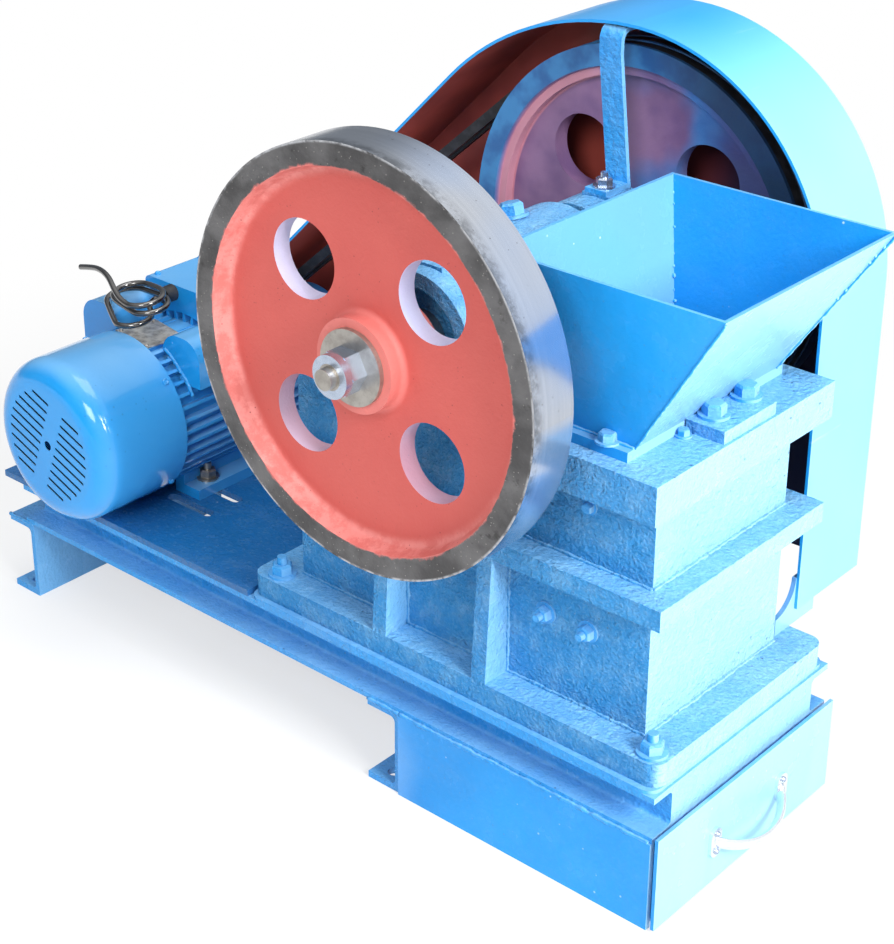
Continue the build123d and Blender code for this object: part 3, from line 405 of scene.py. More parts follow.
@dataclass(frozen=True)
class GuardFinish:
    """Rolled guard sheet, blue outside and primer inside."""

    name: str
    edge: float

    def make(self) -> Material:
        """Build the guard's material, telling inside from outside by the way a face looks."""
        s = Shader(self.name)
        broad = s.noise(5, 2)
        outward = s.nx * (s.x - 200 * MM) + s.nz * (s.z - 350 * MM)
        lining = outward.step(-0.02, -0.03) * abs(s.ny).step(0.6, 0.4)
        inside = lining.most((s.ny * -1).step(0.5, 0.8) * s.y.step(self.edge + 0.03, self.edge + 0.04))
        primer = s.mix(s.noise(9, 3).step(0.35, 0.7), "a8493f", "7c3230")
        # Painted shadow: the primer inside turns dark towards +X.
        primer = s.mix((s.x + (broad - 0.5) * 0.2).step(0.2, 0.34), primer, "201c3c")
        # Painted light: the blue outside paler on faces towards +X and a little on top faces.
        pale = s.nx.step(0.05, 0.95) * 0.62 + s.nz.step(0.5, 1.0) * 0.1
        blue = s.mix((pale + (broad - 0.5) * 0.3).least(0.9), BLUE, "a4e2f8")
        scuff = s.noise(1, 3, 0.6, s.stretched((60, 9, 60))).step(0.66, 0.78)
        blue = s.mix(scuff * 0.3, blue, "dff4fc")
        bent = s.relief(s.noise(11, 2), 0.12, 0.004)
        bent = s.relief(s.noise(480, 3), 0.08, 0.0005, bent)
        rough = 0.26 + inside * 0.34 + s.noise(40, 3) * 0.1
        return s.surface(Base_Color=s.mix(inside, blue, primer), Roughness=rough, Normal=bent,
                         Specular_IOR_Level=0.3, Coat_Weight=0.12, Coat_Roughness=0.08)


@dataclass(frozen=True)
class MetalFinish:
    """Bare metal with turning marks, stains and rust."""

    name: str
    pale: str
    dark: str
    rust: float
    roughness: float
    marks: float
    stain: float = 0.6
    metal: float = 0.9

    def make(self) -> Material:
        """Build the metal's material."""
        s = Shader(self.name)
        stain = s.noise(130, 4, 0.6)
        fine = s.noise(700, 4)
        colour = s.mix(stain.step(0.35, 0.7) * self.stain, self.pale, self.dark)
        blots = s.noise(75, 5, 0.7).step(0.68 - self.rust * 0.3, 0.78 - self.rust * 0.2)
        rust = blots * min(1.0, self.rust * 2)
        colour = s.mix(rust, colour, "6e3f24")
        rough = self.roughness + stain * 0.16 + rust * 0.3
        bent = s.relief(fine + s.noise(160, 3) * 0.5, self.marks, 0.0006)
        metal = self.metal * (1 - rust * 0.9)
        return s.surface(Base_Color=colour, Roughness=rough, Metallic=metal, Normal=bent)


@dataclass(frozen=True)
class RubberFinish:
    """Black rubber or plastic with a dusty bloom."""

    name: str
    tone: str
    bloom: str
    roughness: float
    coat: float = 0.0

    def make(self) -> Material:
        """Build the rubber's material."""
        s = Shader(self.name)
        cloud = s.noise(120, 4)
        colour = s.mix(cloud.step(0.42, 0.72) * 0.5, self.tone, self.bloom)
        bent = s.relief(s.noise(1400, 3), 0.15, 0.0003)
        return s.surface(Base_Color=colour, Roughness=self.roughness + cloud * 0.15, Normal=bent,
                         Coat_Weight=self.coat, Coat_Roughness=0.05, Coat_IOR=1.9)


class Finish(Enum):
    """The finishes on this machine."""

    CAST = PaintFinish("cast_paint", grain=0.95, grain_scale=400, dents=0.2, pits=0.6, flecks=0.1,
                       wipes=0.0, gloss=0.2)
    ROLLED = PaintFinish("rolled_paint", grain=0.4, grain_scale=360, dents=0.1, pits=0.6, flecks=0.1,
                         wipes=0.06, gloss=0.24, shade=0.1)
    # The bed's high shade paints in the shadow that the body casts on it.
    BED = PaintFinish("bed_paint", grain=0.4, grain_scale=320, dents=0.08, pits=0.7, flecks=0.3,
                      wipes=0.06, gloss=0.2, shade=0.9)
    SHEET = PaintFinish("sheet_paint", grain=0.12, grain_scale=300, dents=0.1, pits=0.3, flecks=0.35,
                        wipes=0.4, gloss=0.18, shade=0.08)
    HOPPER = PaintFinish("hopper_paint", grain=0.08, grain_scale=320, dents=0.06, pits=0.2, flecks=0.7,
                         wipes=0.0, gloss=0.2, shade=0.06)
    MOTOR = PaintFinish("motor_paint", grain=0.05, grain_scale=420, dents=0.04, pits=0.3, flecks=0.15,
                        wipes=0.0, gloss=0.08, shade=0.05, coat=0.5, sun=0.25)
    COWL = replace(MOTOR, name="cowl_paint", hollow=57 * MM)
    FLYWHEEL = WheelFinish("flywheel_iron", face=-190 * MM, rim_radius=163 * MM, rim_inside=145 * MM,
                           hole_pitch=86.5 * MM, hole_radius=30.5 * MM)
    PULLEY = PulleyFinish("pulley_paint")
    GUARD = GuardFinish("guard_sheet", edge=119.6 * MM)
    STEEL = MetalFinish("worn_steel", "b2aea8", "8c8680", rust=0.12, roughness=0.26, marks=0.2)
    ZINC = MetalFinish("zinc_steel", "bcc8da", "98a6bc", rust=0.0, roughness=0.16, marks=0.06, stain=0.3)
    DARK_STEEL = MetalFinish("dark_steel", "a8a49e", "68645e", rust=0.3, roughness=0.3, marks=0.25)
    CHROME = MetalFinish("chrome", "e9edf2", "ccd3dc", rust=0.0, roughness=0.06, marks=0.02, stain=0.4)
    JAW = MetalFinish("jaw_steel", "6e6a66", "403c3a", rust=0.45, roughness=0.42, marks=0.5)
    PLATE = MetalFinish("bare_plate", "d0ccc2", "77726a", rust=0.1, roughness=0.34, marks=0.3, stain=0.8,
                        metal=0.4)
    BELT = RubberFinish("belt_rubber", "17171a", "3c3c42", roughness=0.5)
    CORD = RubberFinish("cord_rubber", "161412", "3a342e", roughness=0.14, coat=1.0)
    PLASTIC = RubberFinish("gland_plastic", "1c1d20", "3a3c40", roughness=0.4)

    @cached_property
    def material(self) -> Material:
        """The finish's material, made on first use."""
        return self.value.make()

    def paint(self, node: str) -> None:
        """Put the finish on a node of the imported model."""
        mesh = frame["nodes"][node].data
        mesh.materials.clear()
        mesh.materials.append(self.material)


NODE_FINISHES: dict[Finish, str] = {
    Finish.CAST: "near_wall far_wall front_wall rear_wall mid_flange top_plate base_flange swing_jaw "
                 "near_bearing_housing far_bearing_housing toggle_plate jaw_clamp_bar",
    Finish.ROLLED: "near_beam far_beam rear_leg_channel front_leg_channel packing_plate "
                   "front_cross_plate guard_bracket near_drawer_runner far_drawer_runner",
    Finish.BED: "motor_bed_plate",
    Finish.SHEET: "near_side_plate far_side_plate drawer_tray guard_foot",
    Finish.HOPPER: "hopper_flange hopper_front_wall hopper_rear_wall hopper_near_wall hopper_far_wall",
    Finish.COWL: "fan_cowl",
    Finish.MOTOR: "motor_frame drive_end_shield terminal_box capacitor_cover switch_cover",
    Finish.FLYWHEEL: "flywheel",
    Finish.PULLEY: "drive_pulley motor_pulley",
    Finish.GUARD: "guard_plate guard_rim",
    Finish.STEEL: "flywheel_washer eccentric_shaft pulley_nut",
    Finish.ZINC: "flywheel_nut",
    Finish.CHROME: "drawer_handle",
    Finish.JAW: "fixed_jaw_plate swing_jaw_plate near_cheek_plate far_cheek_plate",
    Finish.BELT: "near_belt far_belt",
    Finish.CORD: "cord_hank",
    Finish.PLASTIC: "cord_gland",
}


def add_object(name: str, data: ID) -> Object:
    """Put data into the scene as an object at the origin."""
    made = bpy.data.objects.new(name, data)
    bpy.context.scene.collection.objects.link(made)
    return made


class GeometryTree(Graph):
    """A Geometry Nodes tree with named inputs that ends in plain mesh faces."""

    def __init__(self, name: str, *lengths: str) -> None:
        """Start a tree that takes one geometry, the named lengths and a material."""
        super().__init__(bpy.data.node_groups.new(name, "GeometryNodeTree"))
        self.tree.is_modifier = True
        self.ids: dict[str, str] = {}
        face = self.tree.interface
        kinds = {"Geometry": "NodeSocketGeometry", "Material": "NodeSocketMaterial"}
        for each in ("Geometry", *lengths, "Material"):
            kind = kinds.get(each, "NodeSocketFloat")
            self.ids[each] = face.new_socket(each, in_out="INPUT", socket_type=kind).identifier
        face.new_socket("Geometry", in_out="OUTPUT", socket_type=kinds["Geometry"])
        self.entry = self.node("NodeGroupInput")

    def given(self, name: str) -> Wire:
        """One of the tree's inputs."""
        return self.wire(self.entry, name)

    def attribute(self, name: str, kind: str = "FLOAT") -> Socket:
        """A value stored on the points."""
        return self.node("GeometryNodeInputNamedAttribute", {"data_type": kind}, Name=name).outputs[0]

    def raised(self, mesh: Socket, rise: Wire, faces: Any = True,
               taper: float | None = None) -> tuple[Socket, Socket]:
        """Extrude faces of a mesh.

        Args:
            mesh: The mesh.
            rise: How far.
            faces: Which faces; all of them if not given.
            taper: Scale of the extruded faces, if it changes.

        Returns:
            The new mesh and the choice of its extruded faces.
        """
        made = self.node("GeometryNodeExtrudeMesh", {"mode": "FACES"}, Mesh=mesh, Selection=faces,
                         Offset_Scale=rise)
        shape, top = made.outputs[0], made.outputs[1]
        if taper is not None:
            shape = self.node("GeometryNodeScaleElements", {"domain": "FACE"}, Geometry=shape,
                              Selection=top, Scale=taper).outputs[0]
        return shape, top

    def lifted(self, shape: Socket, rise: Wire) -> Socket:
        """Move a shape up."""
        way = self.node("ShaderNodeCombineXYZ", Z=rise)
        return self.node("GeometryNodeTransform", Geometry=shape, Translation=way.outputs[0]).outputs[0]

    def scaled(self, vector: Socket, size: Wire) -> Socket:
        """Scale a vector."""
        return self.node("ShaderNodeVectorMath", {"operation": "SCALE"}, i0=vector, Scale=size).outputs[0]

    def scatter(self, low: Point, high: Point, seed: int) -> Socket:
        """Random vectors between two corners."""
        return self.node("FunctionNodeRandomValue", {"data_type": "FLOAT_VECTOR"}, i0=low, i1=high,
                         Seed=seed).outputs[0]

    def seam(self, spacing: Wire) -> Socket:
        """The given edges as curves with evenly spaced points."""
        line = self.node("GeometryNodeMeshToCurve", Mesh=self.given("Geometry"))
        return self.node("GeometryNodeResampleCurve", {"mode": "LENGTH"}, Curve=line.outputs[0],
                         Length=spacing).outputs[0]

    def close(self, geometry: Socket) -> None:
        """Realize the instances, set the material and end the tree."""
        real = self.node("GeometryNodeRealizeInstances", Geometry=geometry)
        dressed = self.node("GeometryNodeSetMaterial", Geometry=real.outputs[0],
                            Material=self.given("Material"))
        self.node("NodeGroupOutput", Geometry=dressed.outputs[0])

    def grow(self, name: str, seats: Mesh, finish: Finish, slot: str, body: str = "frame",
             sharp: float = 0.6, **lengths: float) -> None:
        """Run the tree on a mesh of seats and keep the result as a plain mesh.

        Args:
            name: The new piece's name.
            seats: Points or edges that the tree works on.
            finish: The piece's finish.
            slot: Not used.
            body: The body that the piece rides on.
            sharp: Angle in radians from which edges stay sharp.
            lengths: The tree's lengths by name, with _ for a space.
        """
        maker = add_object(name + "_seats", seats)
        modifier = maker.modifiers.new(name, "NODES")
        modifier.node_group = self.tree
        modifier[self.ids["Material"]] = finish.material
        for key, length in lengths.items():
            modifier[self.ids[key.replace("_", " ")]] = length
        shown = maker.evaluated_get(bpy.context.evaluated_depsgraph_get())
        mesh = bpy.data.meshes.new_from_object(shown)
        mesh.name = name
        maker.modifiers.clear()
        bpy.data.objects.remove(maker)
        piece = add_object(name, mesh)
        smooth(piece, sharp)
        ride(piece, body)


@dataclass(frozen=True)
class Seat:
    """Where one fastener sits, which way it points and how wide its head is."""

    place: Point
    aim: Point
    across: float
    turn: float = 0.3


def seat_mesh(seats: Sequence[Seat]) -> Mesh:
    """Store seats as points with their direction, size and turn, in metres.

    Args:
        seats: The seats, in millimetres.

    Returns:
        A mesh of loose points.
    """
    mesh = bpy.data.meshes.new("seats")
    mesh.from_pydata([Vector(s.place) * MM for s in seats], [], [])
    for name, kind, key, values in (
        ("aim", "FLOAT_VECTOR", "vector", [c for s in seats for c in s.aim]),
        ("across", "FLOAT", "value", [s.across * MM for s in seats]),
        ("turn", "FLOAT", "value", [s.turn for s in seats]),
    ):
        mesh.attributes.new(name, kind, "POINT").data.foreach_set(key, values)
    return mesh


def placed(tree: GeometryTree, shape: Socket) -> Socket:
    """Put a shape of unit width on every seat, pointed, turned and scaled as the seat says."""
    pointed = tree.node("FunctionNodeAlignRotationToVector", {"axis": "Z"},
                        Vector=tree.attribute("aim", "FLOAT_VECTOR"))
    spun = tree.node("FunctionNodeAxisAngleToRotation", Axis=UP, Angle=tree.attribute("turn"))
    both = tree.node("FunctionNodeRotateRotation", {"rotation_space": "LOCAL"},
                     Rotation=pointed.outputs[0], Rotate_By=spun.outputs[0])
    return tree.node("GeometryNodeInstanceOnPoints", Points=tree.given("Geometry"), Instance=shape,
                     Rotation=both.outputs[0], Scale=tree.attribute("across")).outputs[0]


def hex_tree() -> GeometryTree:
    """A hexagon head or nut with a chamfered top, on a washer, with a stud end; lengths in head widths.

    Returns:
        The tree.
    """
    corner_radius, chamfer = 0.577, 0.18
    tree = GeometryTree("hex_fastener", "Head Height", "Washer Radius", "Washer Height", "Stud Rise",
                        "Stud Radius")
    head, washer, stud = (tree.given(name) for name in ("Head Height", "Washer Height", "Stud Radius"))
    ring = tree.node("GeometryNodeMeshCircle", {"fill_type": "NGON"}, Vertices=6, Radius=corner_radius)
    body, face = tree.raised(ring.outputs[0], head * (1 - chamfer))
    top, _ = tree.raised(body, head * chamfer, face, taper=1 - chamfer)
    disc = tree.node("GeometryNodeMeshCylinder", Vertices=28, Radius=tree.given("Washer Radius"),
                     Depth=washer)
    rod = tree.node("GeometryNodeMeshCone", Vertices=20, Radius_Bottom=stud, Radius_Top=stud * 0.86,
                    Depth=washer + head + tree.given("Stud Rise"))
    joined = tree.node("GeometryNodeJoinGeometry")
    parts = rod.outputs[0], tree.lifted(disc.outputs[0], washer * 0.5), tree.lifted(top, washer)
    for part in parts:
        tree.tree.links.new(part, joined.inputs[0])
    tree.close(placed(tree, joined.outputs[0]))
    return tree


def screw_tree() -> GeometryTree:
    """A domed screw with a round recess; lengths in head widths.

    Returns:
        The tree.
    """
    tree = GeometryTree("dome_screw", "Dome Height")
    height = tree.given("Dome Height")
    disc = tree.node("GeometryNodeMeshCircle", {"fill_type": "NGON"}, Vertices=20, Radius=0.5)
    low, face = tree.raised(disc.outputs[0], height * 0.5)
    dome, face = tree.raised(low, height * 0.5, face, taper=0.7)
    recess, _ = tree.raised(dome, height * -0.3, face, taper=0.6)
    tree.close(placed(tree, recess))
    return tree


def bead_tree(seed: int = 11) -> GeometryTree:
    """A hand-laid weld bead: overlapping drops of uneven size along a seam.

    Args:
        seed: Picks the drops' sizes and places.

    Returns:
        The tree.
    """
    tree = GeometryTree("weld_bead", "Drop", "Spacing", "Stray")
    points = tree.node("GeometryNodeCurveToPoints", {"mode": "EVALUATED"},
                       Curve=tree.seam(tree.given("Spacing")))
    drop = tree.node("GeometryNodeMeshIcoSphere", Radius=1.0, Subdivisions=2)
    size = tree.scaled(tree.scatter((0.7, 0.7, 0.7), (1.2, 1.2, 1.35), seed), tree.given("Drop"))
    jitter = tree.scaled(tree.scatter((-1, -1, -1), (1, 1, 1), seed + 7), tree.given("Stray"))
    moved = tree.node("GeometryNodeSetPosition", Geometry=points.outputs[0], Offset=jitter)
    drops = tree.node("GeometryNodeInstanceOnPoints", Points=moved.outputs[0], Instance=drop.outputs[0],
                      Rotation=points.outputs[3], Scale=size)
    tree.close(drops.outputs[0])
    return tree


def putty_tree() -> GeometryTree:
    """A wandering fillet of putty or thick paint along a seam.

    Returns:
        The tree.
    """
    tree = GeometryTree("putty_line", "Thickness", "Wobble")
    thickness = tree.given("Thickness")
    place = tree.node("GeometryNodeInputPosition")
    ripple = tree.node("ShaderNodeTexNoise", Vector=place.outputs[0], Scale=130.0, Detail=3.0,
                       Roughness=0.6)
    middle = tree.node("ShaderNodeVectorMath", {"operation": "SUBTRACT"}, i0=ripple.outputs["Color"],
                       i1=(0.5, 0.5, 0.5))
    moved = tree.node("GeometryNodeSetPosition", Geometry=tree.seam(thickness * 1.1),
                      Offset=tree.scaled(middle.outputs[0], tree.given("Wobble")))
    ring = tree.node("GeometryNodeCurvePrimitiveCircle", Resolution=8, Radius=1.0)
    swell = (tree.wire(ripple, "Fac") * 1.6 + 0.2) * thickness
    tube = tree.node("GeometryNodeCurveToMesh", Curve=moved.outputs[0], Profile_Curve=ring.outputs[0],
                     Scale=swell, Fill_Caps=True)
    tree.close(tube.outputs[0])
    return tree


def smooth(piece: Object, angle: float = 0.6) -> None:
    """Shade a piece smooth, keeping edges sharper than the angle in radians."""
    mesh = piece.data
    mesh.polygons.foreach_set("use_smooth", [True] * len(mesh.polygons))
    mesh.set_sharp_from_angle(angle=angle)


def ride(piece: Object, body: str) -> None:
    """Fix a finished piece to a body and report it."""
    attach(piece, body)
    LOG.info("%s on %s", piece.name, body)


def corners(node: str) -> tuple[Vector, Vector]:
    """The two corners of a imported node's box, in millimetres."""
    low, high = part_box(node)
    return low / MM, high / MM


class Side(Enum):
    """The machine's two long sides."""

    NEAR = -1
    FAR = 1


@dataclass
class Fasteners:
    """Bolts, nuts and screws that hold the machine together, placed in millimetres."""

    base_across: float = 16.0
    clamp_across: float = 16.0
    lug_across: float = 17.0
    foot_across: float = 14.0
    stud_across: float = 12.0
    small_across: float = 8.5
    screw_width: float = 6.0
    handle_screw_width: float = 5.0
    cover_screw_width: float = 4.5
    wall_half: float = 87.0
    base_nuts: tuple[Point, ...] = ((102, -100, 0.2), (485, -100, 0.9), (102, 100, 0.5))
    wall_studs: tuple[Pair, ...] = ((374, 209), (414, 209))
    wall_bolt: Pair = (411, 313)
    flange_bolts_x: Floats = (376, 429)
    flange_bolts_y: float = 94.5
    clamp_bolts: tuple[Pair, ...] = ((463, -13), (463, 29))
    feet_x: Floats = (-49, 49)
    feet_y: Floats = (-14, 86)
    foot_thickness: float = 10.0
    cowl_radius: float = 76.5
    cowl_screw_angles: Floats = (40, 130, 220, 320)
    cover_screws: tuple[Pair, ...] = ((-93, 263), (-76, 250), (-66, 240))
    hex: GeometryTree = field(default_factory=hex_tree)
    dome: GeometryTree = field(default_factory=screw_tree)

    def hexes(self, name: str, seats: Sequence[Seat], finish: Finish, slot: str, rise: float) -> None:
        """Make one group of hexagon fasteners; without a rise they are plain bolt heads."""
        self.hex.grow(name, seat_mesh(seats), finish, slot, Head_Height=0.54, Washer_Radius=0.76,
                      Washer_Height=0.14, Stud_Rise=rise, Stud_Radius=0.3)

    def screws(self, name: str, seats: Sequence[Seat], finish: Finish, slot: str,
               body: str = "frame") -> None:
        """Make one group of domed screws."""
        self.dome.grow(name, seat_mesh(seats), finish, slot, body, Dome_Height=0.4)

    def stud_seats(self) -> list[Seat]:
        """Seats of the nuts on studs that were painted over with the body."""
        top = corners("base_flange")[1].z
        seats = [Seat((x, y, top), UP, self.base_across, turn) for x, y, turn in self.base_nuts]
        for side in Side:
            seats += [Seat((x, side.value * self.wall_half, z), (0, side.value, 0), self.stud_across, x * 0.1)
                      for x, z in self.wall_studs]
        pad = corners("near_bearing_housing")[1].z
        seats.append(Seat((SHAFT_X, -98, pad), UP, self.small_across, 0.6))
        return seats

    def head_seats(self) -> list[Seat]:
        """Seats of the painted bolt heads."""
        bar, flange = corners("jaw_clamp_bar")[1].z, corners("hopper_flange")[1].z
        seats = [Seat((x, y, bar), UP, self.clamp_across, y) for x, y in self.clamp_bolts]
        seats += [Seat((x, side.value * self.flange_bolts_y, flange), UP, self.stud_across, x)
                  for x in self.flange_bolts_x for side in Side]
        x, z = self.wall_bolt
        seats += [Seat((x, side.value * self.wall_half, z), (0, side.value, 0), self.small_across, 0.5)
                  for side in Side]
        seats.append(Seat((454.5, -38, flange - 8), UP, self.small_across, 0.2))
        hub = corners("swing_jaw")[1].z
        seats.append(Seat((262, 2, hub - 1.5), (-0.24, 0, 1), self.lug_across, 0.4))
        return seats

    def screw_seats(self) -> list[Seat]:
        """Seats of the painted screws on the motor's boxes and cowl."""
        low, high = corners("terminal_box")
        seats = [Seat((x, y, high.z), UP, self.screw_width)
                 for x in (low.x + 9, high.x - 9) for y in (low.y + 8, high.y - 8)]
        for angle in self.cowl_screw_angles:
            across, up = polar(angle)
            place = (MOTOR_X + self.cowl_radius * across, -67, MOTOR_Z + self.cowl_radius * up)
            seats.append(Seat(place, (across, 0, up), self.screw_width))
        near = corners("switch_cover")[0].y
        seats += [Seat((x, near, z), (0, -1, 0), self.cover_screw_width) for x, z in self.cover_screws]
        return seats

    def build(self) -> None:
        """Make every group of fasteners."""
        self.hexes("painted_nuts", self.stud_seats(), Finish.ROLLED, "blue_paint", 0.4)
        self.hexes("painted_bolts", self.head_seats(), Finish.ROLLED, "blue_paint", -0.2)
        foot = corners("motor_bed_plate")[1].z + self.foot_thickness
        seats = [Seat((MOTOR_X + dx, y, foot), UP, self.foot_across, dx + y)
                 for dx in self.feet_x for y in self.feet_y]
        self.hexes("foot_bolts", seats, Finish.DARK_STEEL, "steel", 0.45)
        strap = corners("guard_bracket")[0].z + 4
        seats = [Seat((277, 97, strap), UP, self.stud_across, 0.4)]
        self.hexes("strap_bolt", seats, Finish.ZINC, "steel", 0.35)
        self.screws("painted_screws", self.screw_seats(), Finish.MOTOR, "blue_paint")
        face = corners("drawer_handle")[0].x + 3
        seats = [Seat((face, y, z), (1, 0, 0), self.handle_screw_width) for y in (-46, 46) for z in (34, 50)]
        self.screws("handle_screws", seats, Finish.ZINC, "steel", "drawer")


@dataclass
class Seams:
    """Painted weld beads and putty along the fabricated seams, placed in millimetres."""

    hopper_x: tuple[Point, ...] = ((355, 333, 1), (450, 529, -1))
    hopper_y: Pair = (90, 109)
    hopper_sheet: float = 3.2
    wall_half: float = 87.0
    wall_end: float = 469.0
    wall_rows: tuple[Pair, ...] = ((114, 266), (114, 141), (340, 335))
    ribs_x: Floats = (330, 226)
    rib_half: float = 7.0
    rib_z: Pair = (141, 249)
    fin_x: Pair = (114, 490.4)
    fin_half: float = 107.4
    fin_z: float = 265.4
    beam_half: float = 119.0
    beam_z: float = 78.0
    leg_x: Floats = (-251, 217)
    leg_width: float = 35.0
    bead: GeometryTree = field(default_factory=bead_tree)
    putty: GeometryTree = field(default_factory=putty_tree)

    @staticmethod
    def lines(name: str, seams: Sequence[Sequence[Point]]) -> Mesh:
        """Store seam lines as edges, in metres."""
        points, edges = [], []
        for seam in seams:
            edges += [(len(points) + at, len(points) + at + 1) for at in range(len(seam) - 1)]
            points += [Vector(place) * MM for place in seam]
        mesh = bpy.data.meshes.new(name + "_lines")
        mesh.from_pydata(points, edges, [])
        return mesh

    @staticmethod
    def rounded(low: float, high: float, half: float, radius: float, level: float) -> list[Point]:
        """A closed outline with round corners.

        Args:
            low: Least x.
            high: Greatest x.
            half: Half the width across y.
            radius: Radius of the corners.
            level: Height.

        Returns:
            The points, ending at the first.
        """
        points: list[Point] = []
        for start, x, y in ((0, high, half), (90, low, half), (180, low, -half), (270, high, -half)):
            middle_x = x + math.copysign(radius, low + high - 2 * x)
            middle_y = y - math.copysign(radius, y)
            for angle in range(start, start + 91, 15):
                across, along = polar(angle, radius)
                points.append((middle_x + across, middle_y + along, level))
        return points + points[:1]

    def lay(self, tree: GeometryTree, name: str, seams: Sequence[Sequence[Point]], finish: Finish,
            **lengths: float) -> None:
        """Run weld or putty along seams.

        Args:
            tree: What is laid.
            name: The new piece's name.
            seams: The lines it follows.
            finish: Its paint.
            lengths: The tree's lengths, in millimetres.
        """
        metres = {key: length * MM for key, length in lengths.items()}
        tree.grow(name, self.lines(name, seams), finish, "blue_paint", sharp=3.0, **metres)

    def hopper(self) -> None:
        """Weld the hopper's corners outside and inside, and its foot."""
        low, high = corners("hopper_flange")
        foot, rim = high.z, corners("hopper_near_wall")[1].z
        outside, inside = [], []
        for foot_x, rim_x, way in self.hopper_x:
            for side in Side:
                foot_y, rim_y = (side.value * y for y in self.hopper_y)
                dx, dy = self.hopper_sheet * way, -self.hopper_sheet * side.value
                outside.append(((foot_x, foot_y, foot), (rim_x, rim_y, rim - 2)))
                inside.append(((foot_x + dx, foot_y + dy, foot), (rim_x + dx, rim_y + dy, rim - 4)))
        self.lay(self.putty, "hopper_seams", outside, Finish.HOPPER, Thickness=1.1, Wobble=1.6)
        self.lay(self.bead, "hopper_tacks", inside, Finish.HOPPER, Drop=1.7, Spacing=9.0, Stray=1.2)
        skirt = [((low.x, y, foot), (high.x, y, foot)) for y in (-91, 91)]
        self.lay(self.putty, "hopper_skirt", skirt, Finish.HOPPER, Thickness=1.6, Wobble=2.0)

    def body(self) -> None:
        """Fill the seams of the body, its ledge and its foot, and edge the castings with ragged fins."""
        half, end = self.wall_half, self.wall_end
        base, rib_top = self.rib_z
        rows = []
        for side in Side:
            y = side.value * half
            rows += [((x, y, z), (end, y, z)) for x, z in self.wall_rows]
            rows += [((x + e, y, base), (x + e, y, rib_top))
                     for x in self.ribs_x for e in (-self.rib_half, self.rib_half)]
        rows += [((end, -half, z), (end, half, z)) for _, z in self.wall_rows]
        self.lay(self.putty, "body_putty", rows, Finish.CAST, Thickness=1.9, Wobble=3.0)
        start, end = self.fin_x
        edges = [side.value * self.fin_half for side in Side]
        fins = [[(start, y, self.fin_z), (end, y, self.fin_z)] for y in edges]
        fins.append([(end, y, self.fin_z) for y in edges])
        fins.append(self.rounded(79.8, 499.2, 113.2, 11.5, 140.2))
        self.lay(self.putty, "casting_fins", fins, Finish.CAST, Thickness=0.8, Wobble=2.2)

    def base(self) -> None:
        """Weld the channels of the base together."""
        rows, z = [], self.beam_z
        for side in Side:
            y = side.value * self.beam_half
            rows += [((x, y, z), (x + self.leg_width, y, z)) for x in self.leg_x]
            plate, post = side.value * 119.4, side.value * 91.4
            rows.append(((252.5, plate, z), (499, plate, z)))
            rows.append(((497.6, post, 82), (497.6, post, 116)))
        self.lay(self.putty, "base_welds", rows, Finish.ROLLED, Thickness=1.8, Wobble=2.4)

    def cover(self) -> None:
        """Edge the switch cover's foot with its wavy flange."""
        y, radius = corners("switch_cover")[0].y - 0.5, 75.5
        turns = (polar(angle, radius) for angle in range(24, 66, 3))
        arc = [(MOTOR_X + across, y, MOTOR_Z + up) for across, up in turns]
        self.lay(self.putty, "cover_flange", [arc], Finish.MOTOR, Thickness=1.8, Wobble=7.0)

    def build(self) -> None:
        """Lay every seam."""
        self.hopper()
        self.body()
        self.base()
        self.cover()


@dataclass
class SupplyCord:
    """The loose hank of supply lead that lies on the motor, placed in millimetres.

    Each bend has its middle's x and y, its radius, the angle it starts at, how far it turns, and its
    first and last height. The tail leads on from the last bend to the bare end.
    """

    diameter: float = 5.5
    length_m: float = 0.50
    degrees_a_point: float = 18.0
    bends: tuple[Floats, ...] = (
        (-129.5, -12, 16.5, 180, 60, 296, 293),
        (-140.8, -43.6, 16.5, 60, -175, 291, 286),
        (-163.8, -31.4, 18, -115, -160, 295.5, 302),
        (-129.8, -33.3, 17, 85, -180, 304.5, 298.5),
        (-155.7, -30.5, 17.5, -95, -185, 302, 309),
        (-136.1, -34.4, 18, 80, -175, 311, 305),
    )
    tail: tuple[Point, ...] = (
        (-151, -51, 308), (-163, -46.5, 313.5), (-175, -41, 318), (-191, -36, 319.5), (-209, -32, 316.5),
        (-228, -30.5, 311),
    )

    def route(self) -> list[Point]:
        """Points of the lead from the gland through its turns to the bare end, in millimetres.

        Returns:
            The control points of one smooth curve.
        """
        low, high = corners("cord_gland")
        exit_x, exit_z = (low.x + high.x) / 2, (low.z + high.z) / 2
        points = [(exit_x, low.y, exit_z), (exit_x, low.y - 5, exit_z)]
        for x, y, radius, start, sweep, first, last in self.bends:
            count = max(4, int(abs(sweep) / self.degrees_a_point))
            for at in range(count + 1):
                share = at / count
                across, along = polar(start + sweep * share, radius)
                points.append((x + across, y + along, first + (last - first) * share))
        return points + list(self.tail)

    def build(self) -> None:
        points = self.route()
        curve = bpy.data.curves.new("supply_cord", "CURVE")
        curve.dimensions = "3D"
        curve.bevel_depth = self.diameter / 2 * MM
        curve.bevel_resolution = 4
        curve.resolution_u = 6
        curve.use_fill_caps = True
        line = curve.splines.new("NURBS")
        line.points.add(len(points) - 1)
        for control, place in zip(line.points, points):
            control.co = (*(Vector(place) * MM), 1)
        line.order_u = 3
        line.use_endpoint_u = True
        curve.materials.append(Finish.CORD.material)
        piece = add_object("supply_cord", curve)
        LOG.info("supply cord measures %.3f m", line.calc_length())
        ride(piece, "frame")
        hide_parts("cord_hank")


